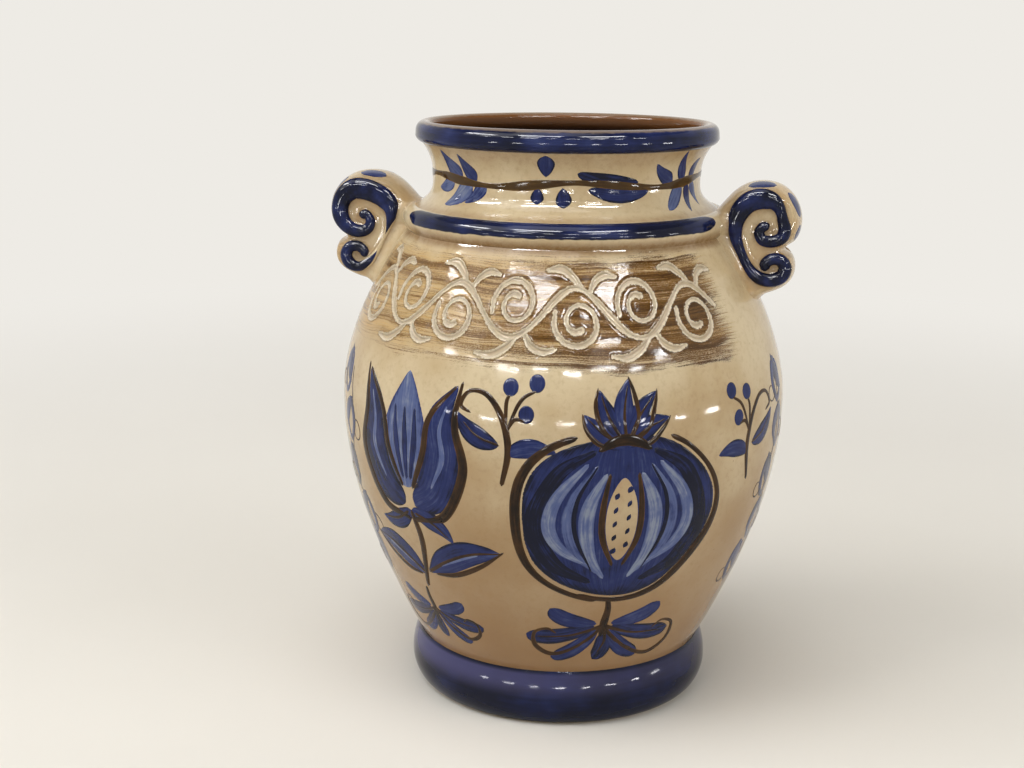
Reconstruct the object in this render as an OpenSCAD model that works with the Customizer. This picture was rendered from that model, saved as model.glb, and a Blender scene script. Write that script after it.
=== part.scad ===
// Round-bellied rum pot of glazed stoneware, open at the mouth, with two scroll lugs.
// The pot stands on Z = 0 with its axis on Z, and the lugs lie on the X axis.

/* [Foot] */
// Height of the foot ring, from the table to the belly
foot_h = 29.5; // [22:0.5:38]
// Height of the widest line above the table
foot_edge_z = 13; // [9:0.5:18]
// Radius of the foot ring where the belly rises out of it
foot_top_r = 76; // [68:0.5:84]
// How far the foot ring's widest line stands out from its top
foot_flare = 4; // [2:0.5:8]
// How far the outer edge of the ring that touches the table lies in from the foot ring's top
foot_tuck = 5; // [3:0.5:8]
// Width of the ring that touches the table
foot_rest_w = 8; // [6:0.5:12]
// Depth of the hollow under the base slab
foot_rest_h = 3; // [2:0.5:5]

/* [Base slab] */
// Thickness of the base slab
base_t = 9; // [6:0.5:13]

/* [Belly] */
// Radius of the pot at its widest line
belly_r = 116; // [106:0.5:128]
// Height from the foot ring to the widest line
lower_belly_h = 128.5; // [110:0.5:150]
// Height from the widest line to the top of the shoulder
upper_belly_h = 87; // [74:0.5:100]
// How far the shoulder runs out from the neck to its edge, under the bead
shoulder_ledge = 3.5; // [2:0.25:5]
// Fullness of the belly curve, where a smaller number is rounder
belly_fullness = 0.95; // [0.8:0.05:1.1]
// Thickness of the pot wall
wall = 6; // [4:0.5:8]

/* [Bead] */
// Radius of the round section of the bead
bead_section_r = 6; // [4.5:0.25:7]

/* [Neck] */
// Height of the neck, from the shoulder to the rim
neck_h = 44; // [38:0.5:52]
// Outer radius of the neck behind the bead
neck_base_r = 78.5; // [72:0.5:85]
// How far the neck draws in from its base to its narrowest line
neck_draw = 9.5; // [6:0.5:12]
// Height of the narrowest line above the shoulder
neck_waist_h = 26; // [22:0.5:30]
// How far the neck flares out from its narrowest line to the rim
neck_flare = 5.5; // [3:0.5:8]
// Sharpness of the flare above the bead
neck_low_flare = 3; // [2:0.25:4]
// Sharpness of the flare under the rim
neck_high_flare = 2.5; // [2:0.25:4]

/* [Rim] */
// Height of the rim band
rim_h = 11; // [9:0.5:14]
// How far the rim band stands out from the top of the neck
rim_overhang = 3.5; // [3:0.25:6]
// How far the mouth, a straight bore that a lid's flange drops into, lies in from the neck's outside
mouth_inset = 4.5; // [4:0.25:6]
// Corner radius of the outside of the rim band
rim_round_r = 4; // [2:0.25:4.25]
// Corner radius of the lip at the mouth
lip_round_r = 3; // [1:0.25:3.25]

/* [Lugs] */
// Half depth of a lug, from its middle to the flat face that carries the scroll
lug_half_depth = 15; // [12:0.5:18]
// Radius of the upper lobe at its middle
upper_lobe_r = 21.25; // [19:0.25:23]
// Distance from the shoulder line out to the middle of the upper lobe
upper_lobe_out = 20; // [18:0.5:22]
// Height of the middle of the upper lobe above the shoulder
upper_lobe_up = 6; // [4:0.5:9]
// Radius of the lower lobe at its middle
lower_lobe_r = 12.75; // [11.5:0.25:14]
// Distance of the lower lobe's middle outward from that of the upper lobe
lower_lobe_out = 4; // [2:0.5:6]
// Distance of the lower lobe's middle below that of the upper lobe
lower_lobe_down = 22; // [20:0.5:24]
// Amount by which a lug swells from its faces to its middle
lug_swell = 3.25; // [2:0.25:4.5]

// Radius of the upper edge of the web that joins the lug to the neck
web_top_r = 12.75; // [10:0.25:15]

/* [Scrolls] */
// Height that a scroll roll stands out of the lug's face
scroll_proud = 3; // [2:0.25:4]
// Half width of the scroll roll over the top of the upper lobe
crown_half_w = 4.5; // [3.5:0.1:4.8]
// Half width of the scroll roll along the spine
spine_half_w = 1.8; // [1.4:0.1:2.4]
// Half width of the scroll roll in its two coils
coil_half_w = 2.3; // [1.8:0.1:2.5]

/* [Hidden] */

$fn = 96;
cream = "#CDB894";
cobalt = "#28336B";
liner_brown = "#4A3424";

curve_steps = 24;   // points along each half of the belly
flare_steps = 12;   // points along each flare of the neck
corner_steps = 8;   // points round each corner of a section
lobe_steps = 8;     // points across the depth of a lobe

// Heights stack up from the table
belly_z = foot_h + lower_belly_h;
shoulder_z = belly_z + upper_belly_h;
neck_waist_z = shoulder_z + neck_waist_h;
rim_z = shoulder_z + neck_h;
pot_h = rim_z + rim_h;
bead_h = 2 * bead_section_r;
bead_top_z = shoulder_z + bead_h;

// Radii of the foot ring
foot_r = foot_top_r + foot_flare;
foot_rest_r = foot_top_r - foot_tuck;

// Radii of the shoulder, the neck and the rim
shoulder_r = neck_base_r + shoulder_ledge;
neck_r = neck_base_r - neck_draw;
neck_top_r = neck_r + neck_flare;
rim_r = neck_top_r + rim_overhang;
mouth_r = neck_top_r - mouth_inset;

// Inner radii of the belly's two ends
base_r = foot_top_r - wall;
neck_base_in_r = neck_base_r - wall;

// How far the web of a lug lies inside its lobes, and how far its lower end stands out from the shoulder
web_inset = 2;
web_foot_out = 13;

// Middle of the upper lobe of the lug on +X
lobe_x = shoulder_r + upper_lobe_out;
lobe_z = shoulder_z + upper_lobe_up;

function arc(c, r, from, to, steps) =
    [for (i = [0:steps]) let (a = from + (to - from) * i / steps) [c[0] + r * cos(a), c[1] + r * sin(a)]];

// Share of the swell left at a share u of the way from the widest line to the end of a belly half
function swell(u) = pow(max(cos(90 * u), 0), belly_fullness);

// Points of one belly half, from its widest line to its end
function belly_curve(widest, end_r, end_z) =
    [for (i = [0:curve_steps]) let (u = i / curve_steps)
        [end_r + (widest - end_r) * (i == curve_steps ? 0 : swell(u)), belly_z + (end_z - belly_z) * u]];

function reversed(points) = [for (i = [len(points) - 1:-1:0]) points[i]];

// Points of the outside of the neck above the bead, moved inward by t
function neck_curve(t) = concat(
    [for (i = [0:flare_steps]) let (v = 1 - i / flare_steps)
        [neck_r - t + (neck_base_r - neck_r) * pow(v, neck_low_flare),
         neck_waist_z + (bead_top_z - neck_waist_z) * v]],
    [for (i = [1:flare_steps]) let (v = i / flare_steps)
        [neck_r - t + (neck_top_r - neck_r) * pow(v, neck_high_flare),
         neck_waist_z + (rim_z - neck_waist_z) * v]]);

module turned(points) {
    rotate_extrude() polygon(points);
}

module foot_ring() {
    color(cobalt) turned(concat(
        [[foot_rest_r - foot_rest_w, 0]],
        [for (i = [0:corner_steps]) let (a = 90 * i / corner_steps)
            [foot_rest_r + (foot_r - foot_rest_r) * sin(a), foot_edge_z * (1 - cos(a))]],
        [for (i = [1:corner_steps]) let (u = i / corner_steps)
            [foot_r - (foot_r - foot_top_r) * u * u, foot_edge_z + (foot_h - foot_edge_z) * u]],
        [[foot_top_r, foot_rest_h], [foot_rest_r - foot_rest_w, foot_rest_h]]));
}

module base_slab() {
    color(liner_brown) translate([0, 0, foot_rest_h]) cylinder(r = base_r, h = base_t);
}

module lower_belly() {
    color(cream) turned(concat(
        belly_curve(belly_r, foot_top_r, foot_h),
        [[foot_top_r, foot_rest_h], [base_r, foot_rest_h]],
        reversed(belly_curve(belly_r - wall, base_r, foot_h))));
}

module upper_belly() {
    color(cream) turned(concat(
        belly_curve(belly_r, shoulder_r, shoulder_z),
        reversed(belly_curve(belly_r - wall, neck_base_in_r, shoulder_z))));
}

// A half-round coil on the joint of neck and shoulder, with a straight flank down to the shoulder's edge
module shoulder_bead() {
    color(cobalt) turned(concat(
        [[neck_base_r, shoulder_z], [shoulder_r, shoulder_z]],
        arc([neck_base_r, shoulder_z + bead_section_r], bead_section_r, 0, 90, corner_steps)));
}

module neck_collar() {
    color(cream) turned(concat(
        [[neck_base_in_r, shoulder_z], [neck_base_r, shoulder_z]],
        neck_curve(0),
        reversed(neck_curve(wall))));
}

module rim_band() {
    color(cobalt) turned(concat(
        [[mouth_r, rim_z]],
        arc([rim_r - rim_round_r, rim_z + rim_round_r], rim_round_r, -90, 0, corner_steps),
        arc([rim_r - rim_round_r, pot_h - rim_round_r], rim_round_r, 0, 90, corner_steps),
        arc([mouth_r + lip_round_r, pot_h - lip_round_r], lip_round_r, 90, 180, corner_steps)));
}

// The pot's outside, filled to its axis, which the lugs are shaped to
module pot_outside() {
    turned(concat(
        [[0, foot_h]],
        reversed(belly_curve(belly_r, foot_top_r, foot_h)),
        belly_curve(belly_r, shoulder_r, shoulder_z),
        arc([neck_base_r, shoulder_z + bead_section_r], bead_section_r, 0, 90, corner_steps),
        neck_curve(0),
        [[0, rim_z]]));
}

// A barrel lying along Y: full radius r in its middle, and smaller by the swell at both flat ends
module barrel(x, z, r, steps) {
    translate([x, 0, z]) rotate([90, 0, 0]) rotate_extrude($fn = steps) polygon(concat(
        [[0, -lug_half_depth]],
        [for (i = [0:lobe_steps]) let (s = 2 * i / lobe_steps - 1) [r - lug_swell * s * s, lug_half_depth * s]],
        [[0, lug_half_depth]]));
}

// The lug on +X: two lobes and the web that carries them on the shoulder
module lug() {
    root_steps = 32;
    lower_z = lobe_z - lower_lobe_down;
    difference() {
        union() {
            barrel(lobe_x, lobe_z, upper_lobe_r, $fn);
            barrel(lobe_x + lower_lobe_out, lower_z, lower_lobe_r, $fn);
            hull() {
                barrel(shoulder_r, lobe_z - web_inset, web_top_r, root_steps);
                barrel(lobe_x - web_inset, lobe_z - web_inset, web_top_r, root_steps);
                barrel(shoulder_r + web_foot_out, lower_z, lower_lobe_r, root_steps);
                barrel(lobe_x + lower_lobe_out - web_inset, lower_z, lower_lobe_r, root_steps);
            }
        }
        pot_outside();
    }
}

module left_lug() {
    color(cream) mirror([1, 0, 0]) lug();
}

module right_lug() {
    color(cream) lug();
}

// Centre line of the scroll roll, from the upper eye round its coil, over the crown and down the spine to the
// lower eye. Each point is X and Z from the middle of its lobe, in hundredths of the radius of the lobe's flat
// face, and then the roll's half width.
upper_scroll = let (c = coil_half_w, w = crown_half_w, s = spine_half_w) [
    [16, -11, c], [2, -3, 0.85 * c], [-10, -20, 0.87 * c], [3, -39, c], [30, -42, c], [53, -30, 1.08 * c],
    [60, -7, 1.08 * c], [54, 18, 0.96 * c], [48, 41, 0.96 * c], [37, 60, 0.71 * w], [18, 72, 0.93 * w],
    [-9, 74, w], [-39, 63, w], [-62, 39, 0.93 * w], [-74, 6, 0.78 * w], [-73, -28, 1.4 * s],
    [-66, -50, 1.2 * s], [-54, -78, s]];
lower_scroll = let (c = coil_half_w, s = spine_half_w) [
    [-118, 27, 1.05 * s], [-84, -21, c], [-37, -48, 1.1 * c], [21, -52, 1.1 * c], [63, -25, 1.1 * c],
    [74, 17, 1.08 * c], [53, 55, c], [8, 59, c], [-21, 32, 0.9 * c], [4, 6, c]];

// The points of one lobe, sized to its face of radius r and moved to its middle
function on_face(points, at, r) = [for (p = points) [at[0] + r * p[0] / 100, at[1] + r * p[1] / 100, p[2]]];

function scroll_points() = concat(
    on_face(upper_scroll, [lobe_x, lobe_z], upper_lobe_r - lug_swell),
    on_face(lower_scroll, [lobe_x + lower_lobe_out, lobe_z - lower_lobe_down], lower_lobe_r - lug_swell));

scroll_rings = 3;   // rings between two points of the centre line
roll_sides = 7;     // facets over the round of the roll

// A smooth curve through the points p, at t counted in points
function smooth(p, t) = let (n = len(p) - 1, i = min(floor(t), n - 1), u = t - i,
    a = p[max(i - 1, 0)], b = p[i], c = p[i + 1], d = p[min(i + 2, n)])
    0.5 * (2 * b + (c - a) * u + (2 * a - 5 * b + 4 * c - d) * u * u + (3 * b - a - 3 * c + d) * u * u * u);

function flat(v) = let (l = norm([v[0], v[1]])) [v[0], v[1]] / l;

// A roll with a round back and a flat bottom on the plane y = 0, standing out towards -Y
module roll(p) {
    rings = scroll_rings * (len(p) - 1);
    side_points = roll_sides + 1;
    at = [for (i = [0:rings]) smooth(p, i / scroll_rings)];
    points = [for (i = [0:rings]) let (
            along = flat(at[min(i + 1, rings)] - at[max(i - 1, 0)]),
            across = [along[1], -along[0]],
            end = i == 0 || i == rings ? 0.35 : (i == 1 || i == rings - 1 ? 0.8 : 1))
        for (k = [0:roll_sides]) let (a = 180 * k / roll_sides, side = at[i][2] * end * cos(a))
            [at[i][0] + across[0] * side, -scroll_proud * end * sin(a), at[i][1] + across[1] * side]];
    skin = [for (i = [0:rings - 1]) for (k = [0:side_points - 1]) let (
            n = (k + 1) % side_points, a = i * side_points + k, b = i * side_points + n,
            c = a + side_points, d = b + side_points)
        each [[a, b, c], [b, d, c]]];
    cap = [for (k = [1:side_points - 2]) [0, k + 1, k]];
    last = rings * side_points;
    polyhedron(points, concat(skin, cap, [for (f = cap) [last + f[0], last + f[2], last + f[1]]]));
}

module front_scroll() {
    color(cobalt) translate([0, -lug_half_depth, 0]) roll(scroll_points());
}

module right_front_scroll() {
    front_scroll();
}

module right_rear_scroll() {
    mirror([0, 1, 0]) front_scroll();
}

module left_front_scroll() {
    mirror([1, 0, 0]) front_scroll();
}

module left_rear_scroll() {
    mirror([1, 0, 0]) mirror([0, 1, 0]) front_scroll();
}

foot_ring();
base_slab();
lower_belly();
upper_belly();
shoulder_bead();
neck_collar();
rim_band();
left_lug();
right_lug();
left_front_scroll();
left_rear_scroll();
right_front_scroll();
right_rear_scroll();
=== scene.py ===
"""A rum pot of glazed stoneware: clay, glazes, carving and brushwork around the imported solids, in millimetres."""

import math

import bmesh
import bpy
import numpy as np
from mathutils import Matrix, Vector
from mathutils.bvhtree import BVHTree


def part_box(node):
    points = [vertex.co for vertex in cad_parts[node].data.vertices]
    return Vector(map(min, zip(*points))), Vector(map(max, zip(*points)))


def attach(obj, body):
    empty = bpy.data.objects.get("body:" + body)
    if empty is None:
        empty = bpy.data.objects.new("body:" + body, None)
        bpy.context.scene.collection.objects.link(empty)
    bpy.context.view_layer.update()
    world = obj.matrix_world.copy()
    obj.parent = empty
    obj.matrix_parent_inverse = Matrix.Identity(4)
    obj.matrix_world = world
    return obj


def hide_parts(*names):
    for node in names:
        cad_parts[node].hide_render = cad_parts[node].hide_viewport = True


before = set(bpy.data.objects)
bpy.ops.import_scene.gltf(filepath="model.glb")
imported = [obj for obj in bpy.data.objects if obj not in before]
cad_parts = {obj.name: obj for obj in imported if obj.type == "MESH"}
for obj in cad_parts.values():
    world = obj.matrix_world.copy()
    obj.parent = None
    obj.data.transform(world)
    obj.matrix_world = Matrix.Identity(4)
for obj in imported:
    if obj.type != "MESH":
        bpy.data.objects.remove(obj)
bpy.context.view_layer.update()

MM = 0.001


def node_box(node):
    """Lowest and highest corner of a solid, in millimetres."""
    low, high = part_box(node)
    return [c / MM for c in low], [c / MM for c in high]


# Sizes that the solids give
FOOT_R, _, FOOT_H = node_box("foot_ring")[1]
BELLY_R, _, BELLY_Z = node_box("lower_belly")[1]
SHOULDER_Z = node_box("upper_belly")[1][2]
NECK_BASE_R = node_box("neck_collar")[1][0]
BEAD_R, _, BEAD_TOP_Z = node_box("shoulder_bead")[1]
RIM_Z = node_box("rim_band")[0][2]
RIM_R, _, POT_H = node_box("rim_band")[1]
SLAB_R, _, SLAB_TOP_Z = node_box("base_slab")[1]
LUG_DEPTH = node_box("right_lug")[1][1]

# Sizes that the solids hold inside, as in the part's source
FOOT_TOP_R = 76.0
FOOT_REST_R = 71.0
FOOT_REST_IN_R = 63.0
FOOT_EDGE_Z = 13.0
FOOT_REST_H = 3.0
SHOULDER_R = 82.0
WALL = 6.0
FULLNESS = 0.95
NECK_R = 69.0
NECK_WAIST_Z = SHOULDER_Z + 26.0
NECK_TOP_R = 74.5
MOUTH_R = 70.0

FRONT_FROM, FRONT_TO = -76.0, 66.0      # finely meshed side, in degrees from the front towards +X
FINE_STEP, COARSE_STEP = 0.4, 1.8       # degrees between columns of the belly
CARVED_FROM, CARVED_TO = 189.0, 242.0   # heights between which the belly is finely meshed for the carving


# Shape of the pot

def belly_radius(z):
    """Outer radius of the belly at the heights z, as an array."""
    z = np.asarray(z, float)
    low = z <= BELLY_Z
    end = np.where(low, FOOT_TOP_R, SHOULDER_R)
    span = np.where(low, BELLY_Z - FOOT_H, SHOULDER_Z - BELLY_Z)
    share = np.clip(np.abs(z - BELLY_Z) / span, 0, 1)
    return end + (BELLY_R - end) * np.maximum(np.cos(np.pi / 2 * share), 0) ** FULLNESS


def throwing_rings(angle, z):
    """Slight ridges that the potter's fingers leave in the wall; angle in radians."""
    slow = 0.06 * np.sin(z / 5.3 + 0.5 * np.sin(angle + 0.6))
    quick = 0.02 * np.sin(z / 1.9 + 0.9 * np.sin(2 * angle))
    sway = 0.16 * np.sin(2 * angle + 0.8) * np.sin(z / 47.0)
    return slow + quick + sway


def neck_radius(z):
    """Outer radius of the neck at the heights z, as an array."""
    z = np.asarray(z, float)
    low = np.clip((NECK_WAIST_Z - z) / (NECK_WAIST_Z - BEAD_TOP_Z), 0, 1)
    high = np.clip((z - NECK_WAIST_Z) / (RIM_Z - NECK_WAIST_Z), 0, 1)
    return NECK_R + (NECK_BASE_R - NECK_R) * low ** 3 + (NECK_TOP_R - NECK_R) * high ** 2.5


def on_belly(angle, z, proud):
    """Points of the belly's surface, and how far they stand out of it; angle in radians."""
    radius = belly_radius(z) + throwing_rings(angle, z) + proud
    return np.stack([radius * np.sin(angle), -radius * np.cos(angle), z + 0 * radius], -1)


def on_neck(angle, z, proud):
    radius = neck_radius(z) + proud
    return np.stack([radius * np.sin(angle), -radius * np.cos(angle), z + 0 * radius], -1)


# Meshes

def new_object(name, vertices, faces):
    """A smooth-shaded mesh object from points in millimetres."""
    mesh = bpy.data.meshes.new(name)
    mesh.from_pydata((np.asarray(vertices, float) * MM).tolist(), [], faces)
    mesh.shade_smooth()
    made = bpy.data.objects.new(name, mesh)
    bpy.context.scene.collection.objects.link(made)
    return made


def finish_piece(made, material, slot, *nodes, sharp=None):
    """Gives a piece its material and its body, and hides the solids that it stands for; slot is not used."""
    made.data.materials.clear()
    made.data.materials.append(material)
    if sharp:
        made.data.set_sharp_from_angle(angle=math.radians(sharp))
    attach(made, "root")
    if nodes:
        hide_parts(*nodes)
    return made


def ring_faces(columns, rows):
    """Quads of a grid of points that closes on itself both ways."""
    i, j = np.meshgrid(np.arange(columns), np.arange(rows), indexing="ij")
    i2, j2 = (i + 1) % columns, (j + 1) % rows
    quads = np.stack([i * rows + j, i2 * rows + j, i2 * rows + j2, i * rows + j2], -1)
    return quads.reshape(-1, 4).tolist()


def lathe(name, loop, columns=288):
    """A ring turned from a closed loop of (radius, height), which runs upward on its outside."""
    angles = np.arange(columns) * 2 * np.pi / columns
    loop = np.asarray(loop, float)
    radius, z = loop[:, 0][None, :], loop[:, 1][None, :]
    points = np.stack(
        [radius * np.sin(angles)[:, None], -radius * np.cos(angles)[:, None], z + 0 * angles[:, None]], -1)
    return new_object(name, points.reshape(-1, 3), ring_faces(columns, len(loop)))


def arc(centre, radius, start, end, steps=8):
    turn = [math.radians(start + (end - start) * i / steps) for i in range(steps + 1)]
    return [(centre[0] + radius * math.cos(t), centre[1] + radius * math.sin(t)) for t in turn]


def through(points, step):
    """Points about step apart on a smooth curve through the given points; all columns are curved alike."""
    points = np.asarray(points, float)
    padded = np.vstack([2 * points[0] - points[1], points, 2 * points[-1] - points[-2]])
    out = []
    for k in range(1, len(points)):
        a, b, c, d = padded[k - 1:k + 3]
        count = max(2, int(math.ceil(np.linalg.norm((c - b)[:2]) / step)))
        u = (np.arange(count) / count)[:, None]
        out.append(0.5 * (2 * b + (c - a) * u + (2 * a - 5 * b + 4 * c - d) * u ** 2
                          + (3 * b - a - 3 * c + d) * u ** 3))
    out.append(points[-1:])
    return np.vstack(out)


# Node helpers

def srgb(red, green, blue):
    """A linear colour with alpha, from 0 to 255 values as they are seen."""
    seen = [c / 255 for c in (red, green, blue)]
    return tuple(c / 12.92 if c <= 0.04045 else ((c + 0.055) / 1.055) ** 2.4 for c in seen) + (1.0,)


class Shade:
    """A material, and short ways to add nodes to it."""

    def __init__(self, name):
        self.material = bpy.data.materials.new(name)
        self.material.use_nodes = True
        tree = self.material.node_tree
        self.nodes, self.links = tree.nodes, tree.links
        self.surface = self.nodes["Principled BSDF"]

    def put(self, socket, value):
        if isinstance(value, bpy.types.NodeSocket):
            self.links.new(value, socket)
        else:
            socket.default_value = value

    def set(self, **values):
        for name, value in values.items():
            self.put(self.surface.inputs[name.replace("_", " ")], value)

    def math(self, operation, *values):
        node = self.nodes.new("ShaderNodeMath")
        node.operation = operation
        for socket, value in zip(node.inputs, values):
            self.put(socket, value)
        return node.outputs[0]

    def mix(self, share, first, second, blend="MIX"):
        node = self.nodes.new("ShaderNodeMix")
        node.data_type = "RGBA"
        node.blend_type = blend
        for socket, value in zip((node.inputs[0], node.inputs[6], node.inputs[7]), (share, first, second)):
            self.put(socket, value)
        return node.outputs[2]

    def mixed(self, share, first, second):
        """A plain value between first and second."""
        return self.math("ADD", first, self.math("MULTIPLY", share, second - first))

    def vector(self, x, y, z):
        node = self.nodes.new("ShaderNodeCombineXYZ")
        for socket, value in zip(node.inputs, (x, y, z)):
            self.put(socket, value)
        return node.outputs[0]

    def noise(self, vector, scale, detail=2.0, rough=0.5):
        node = self.nodes.new("ShaderNodeTexNoise")
        self.put(node.inputs["Vector"], vector)
        node.inputs["Scale"].default_value = scale
        node.inputs["Detail"].default_value = detail
        node.inputs["Roughness"].default_value = rough
        return node.outputs[0]

    def cells(self, vector, scale):
        """Distance to the nearest of scattered points."""
        node = self.nodes.new("ShaderNodeTexVoronoi")
        self.put(node.inputs["Vector"], vector)
        node.inputs["Scale"].default_value = scale
        return node.outputs["Distance"]

    def ease(self, value, low, high, to_low=0.0, to_high=1.0):
        """A smooth step from to_low to to_high as value goes from low to high."""
        node = self.nodes.new("ShaderNodeMapRange")
        node.interpolation_type = "SMOOTHSTEP"
        for socket, given in zip(node.inputs, (value, low, high, to_low, to_high)):
            self.put(socket, given)
        return node.outputs[0]

    def attribute(self, name):
        node = self.nodes.new("ShaderNodeAttribute")
        node.attribute_name = name
        return node.outputs["Fac"]

    def bump(self, height, depth_mm, strength=1.0, normal=None):
        node = self.nodes.new("ShaderNodeBump")
        self.put(node.inputs["Height"], height)
        node.inputs["Distance"].default_value = depth_mm * MM
        node.inputs["Strength"].default_value = strength
        if normal is not None:
            self.put(node.inputs["Normal"], normal)
        return node.outputs[0]

    def place(self):
        """Position on the pot in millimetres: the whole vector, the arc from the front, height and radius."""
        if hasattr(self, "known_place"):
            return self.known_place
        coordinate = self.nodes.new("ShaderNodeTexCoord").outputs["Object"]
        scaled = self.nodes.new("ShaderNodeVectorMath")
        scaled.operation = "SCALE"
        self.put(scaled.inputs[0], coordinate)
        scaled.inputs["Scale"].default_value = 1 / MM
        split = self.nodes.new("ShaderNodeSeparateXYZ")
        self.put(split.inputs[0], scaled.outputs[0])
        x, y, z = split.outputs
        angle = self.math("ARCTAN2", x, self.math("MULTIPLY", y, -1.0))
        radius = self.math("SQRT", self.math("ADD", self.math("MULTIPLY", x, x), self.math("MULTIPLY", y, y)))
        self.known_place = scaled.outputs[0], angle, z, radius
        return self.known_place


# Colours, as they are seen
CREAM_LIGHT = srgb(213, 196, 162)
CREAM = srgb(193, 170, 131)
TAN = srgb(143, 109, 71)
SALT_BROWN = srgb(132, 98, 58)
SPECK = srgb(96, 68, 42)
COBALT_DARK = srgb(11, 16, 39)
COBALT = srgb(31, 42, 93)
COBALT_THIN = srgb(82, 95, 140)
COBALT_WASH = srgb(137, 146, 164)
COBALT_MAUVE = srgb(86, 85, 130)
SLIP_WASH = srgb(194, 154, 84)
SLIP_BROWN = srgb(130, 92, 40)
SLIP_DARK = srgb(68, 44, 18)
CARVED_PALE = srgb(244, 230, 204)
CARVED_DEEP = srgb(188, 168, 138)
OUTLINE_DARK = srgb(28, 18, 9)
OUTLINE_BROWN = srgb(60, 39, 18)
OUTLINE_THIN = srgb(118, 84, 40)
STEM_BROWN = srgb(72, 52, 22)
LUG_GOLD = srgb(188, 152, 104)
RIM_BREAK = srgb(142, 124, 106)
LINER_DARK = srgb(34, 20, 12)
LINER_RED = srgb(124, 80, 42)
BARE_CLAY = srgb(190, 172, 144)


SHEEN = 0.36          # specular level of the clear glaze
COBALT_SHEEN = 0.2    # and of the cobalt, which the pale surroundings would veil


def stoneware(shade, glaze_pool_and_shade=None):
    """Colour of the clear salt glaze over grey-cream clay: tan towards the foot, which is painted shade and painted
    warm reflection, and browner where the caller asks, which is pooled glaze together with painted shade.
    """
    vector, _, z, _ = shade.place()
    cloud = shade.noise(vector, 0.022, 3.0)
    mottle = shade.noise(vector, 0.35, 3.0, 0.6)
    grain = shade.noise(vector, 2.2, 3.0, 0.65)
    colour = shade.mix(shade.ease(cloud, 0.32, 0.68), CREAM, CREAM_LIGHT)
    # Painted shade and painted warm reflection: the clay turns tan towards the foot.
    lower = shade.ease(shade.math("ADD", z, shade.math("MULTIPLY", cloud, 60.0)), 250.0, 52.0)
    colour = shade.mix(shade.math("MULTIPLY", lower, 0.96), colour, TAN)
    colour = shade.mix(shade.ease(mottle, 0.45, 0.8, 0.0, 0.24), colour, TAN)
    colour = shade.mix(shade.ease(grain, 0.5, 0.8, 0.0, 0.16), colour, SALT_BROWN)
    specks = shade.ease(shade.cells(vector, 0.16), 0.06, 0.03)
    sparse = shade.ease(shade.noise(vector, 0.09), 0.5, 0.62)
    colour = shade.mix(shade.math("MULTIPLY", shade.math("MULTIPLY", specks, sparse), 0.7), colour, SPECK)
    # Pooled glaze together with painted shade, where a caller darkens corners and hollows.
    if glaze_pool_and_shade is not None:
        uneven = shade.math("MULTIPLY", glaze_pool_and_shade, shade.ease(shade.math("ADD", mottle, grain), 0.7, 1.25, 0.78, 1.0))
        colour = shade.mix(uneven, colour, SALT_BROWN)
    return colour


def glaze_skin(shade, roughness=0.09, pit=0.03, relief=None, sheen=SHEEN):
    """Gloss with the fine orange-peel pitting of salt glaze; relief is a normal that lies under the pitting."""
    vector = shade.place()[0]
    fine = shade.noise(vector, 0.55, 2.0)
    broad = shade.noise(vector, 0.08, 2.0)
    shade.set(Roughness=shade.ease(broad, 0.3, 0.7, roughness - 0.02, roughness + 0.05))
    shade.set(IOR=1.5, Specular_IOR_Level=sheen)
    shade.set(Normal=shade.bump(fine, pit, 0.8, relief))


def glazed_stoneware(name="stoneware_glaze", pooled_shade_corners=()):
    """Bare glazed clay; its second argument lists heights (from, to) towards which the clay darkens, darkest at the
    second: pooled glaze together with painted shade.
    """
    shade = Shade(name)
    z = shade.place()[2]
    glaze_pool_and_shade = None
    for pale_z, dark_z, share in pooled_shade_corners:
        here = shade.ease(z, pale_z, dark_z, 0.0, share)
        glaze_pool_and_shade = here if glaze_pool_and_shade is None else shade.math("MAXIMUM", glaze_pool_and_shade, here)
    shade.set(Base_Color=stoneware(shade, glaze_pool_and_shade))
    glaze_skin(shade)
    return shade.material


def cobalt_coat(shade, contrast=1.0):
    """Colour of a full coat of cobalt under glaze: nearly even, a little paler where it was wiped or ran thin."""
    vector, angle, z, _ = shade.place()
    along = shade.vector(shade.math("MULTIPLY", angle, 7.0), z, 0.0)
    streak = shade.noise(along, 0.28, 3.0, 0.55)
    cloud = shade.noise(vector, 0.045, 2.0)
    tone = shade.math("ADD", shade.math("MULTIPLY", streak, 0.45 * contrast), shade.math("MULTIPLY", cloud, 0.6))
    colour = shade.mix(shade.ease(tone, 0.38, 0.74), COBALT_DARK, COBALT)
    return shade.mix(shade.ease(tone, 0.58, 0.86, 0.0, 0.5 * contrast), colour, COBALT_THIN)


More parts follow.
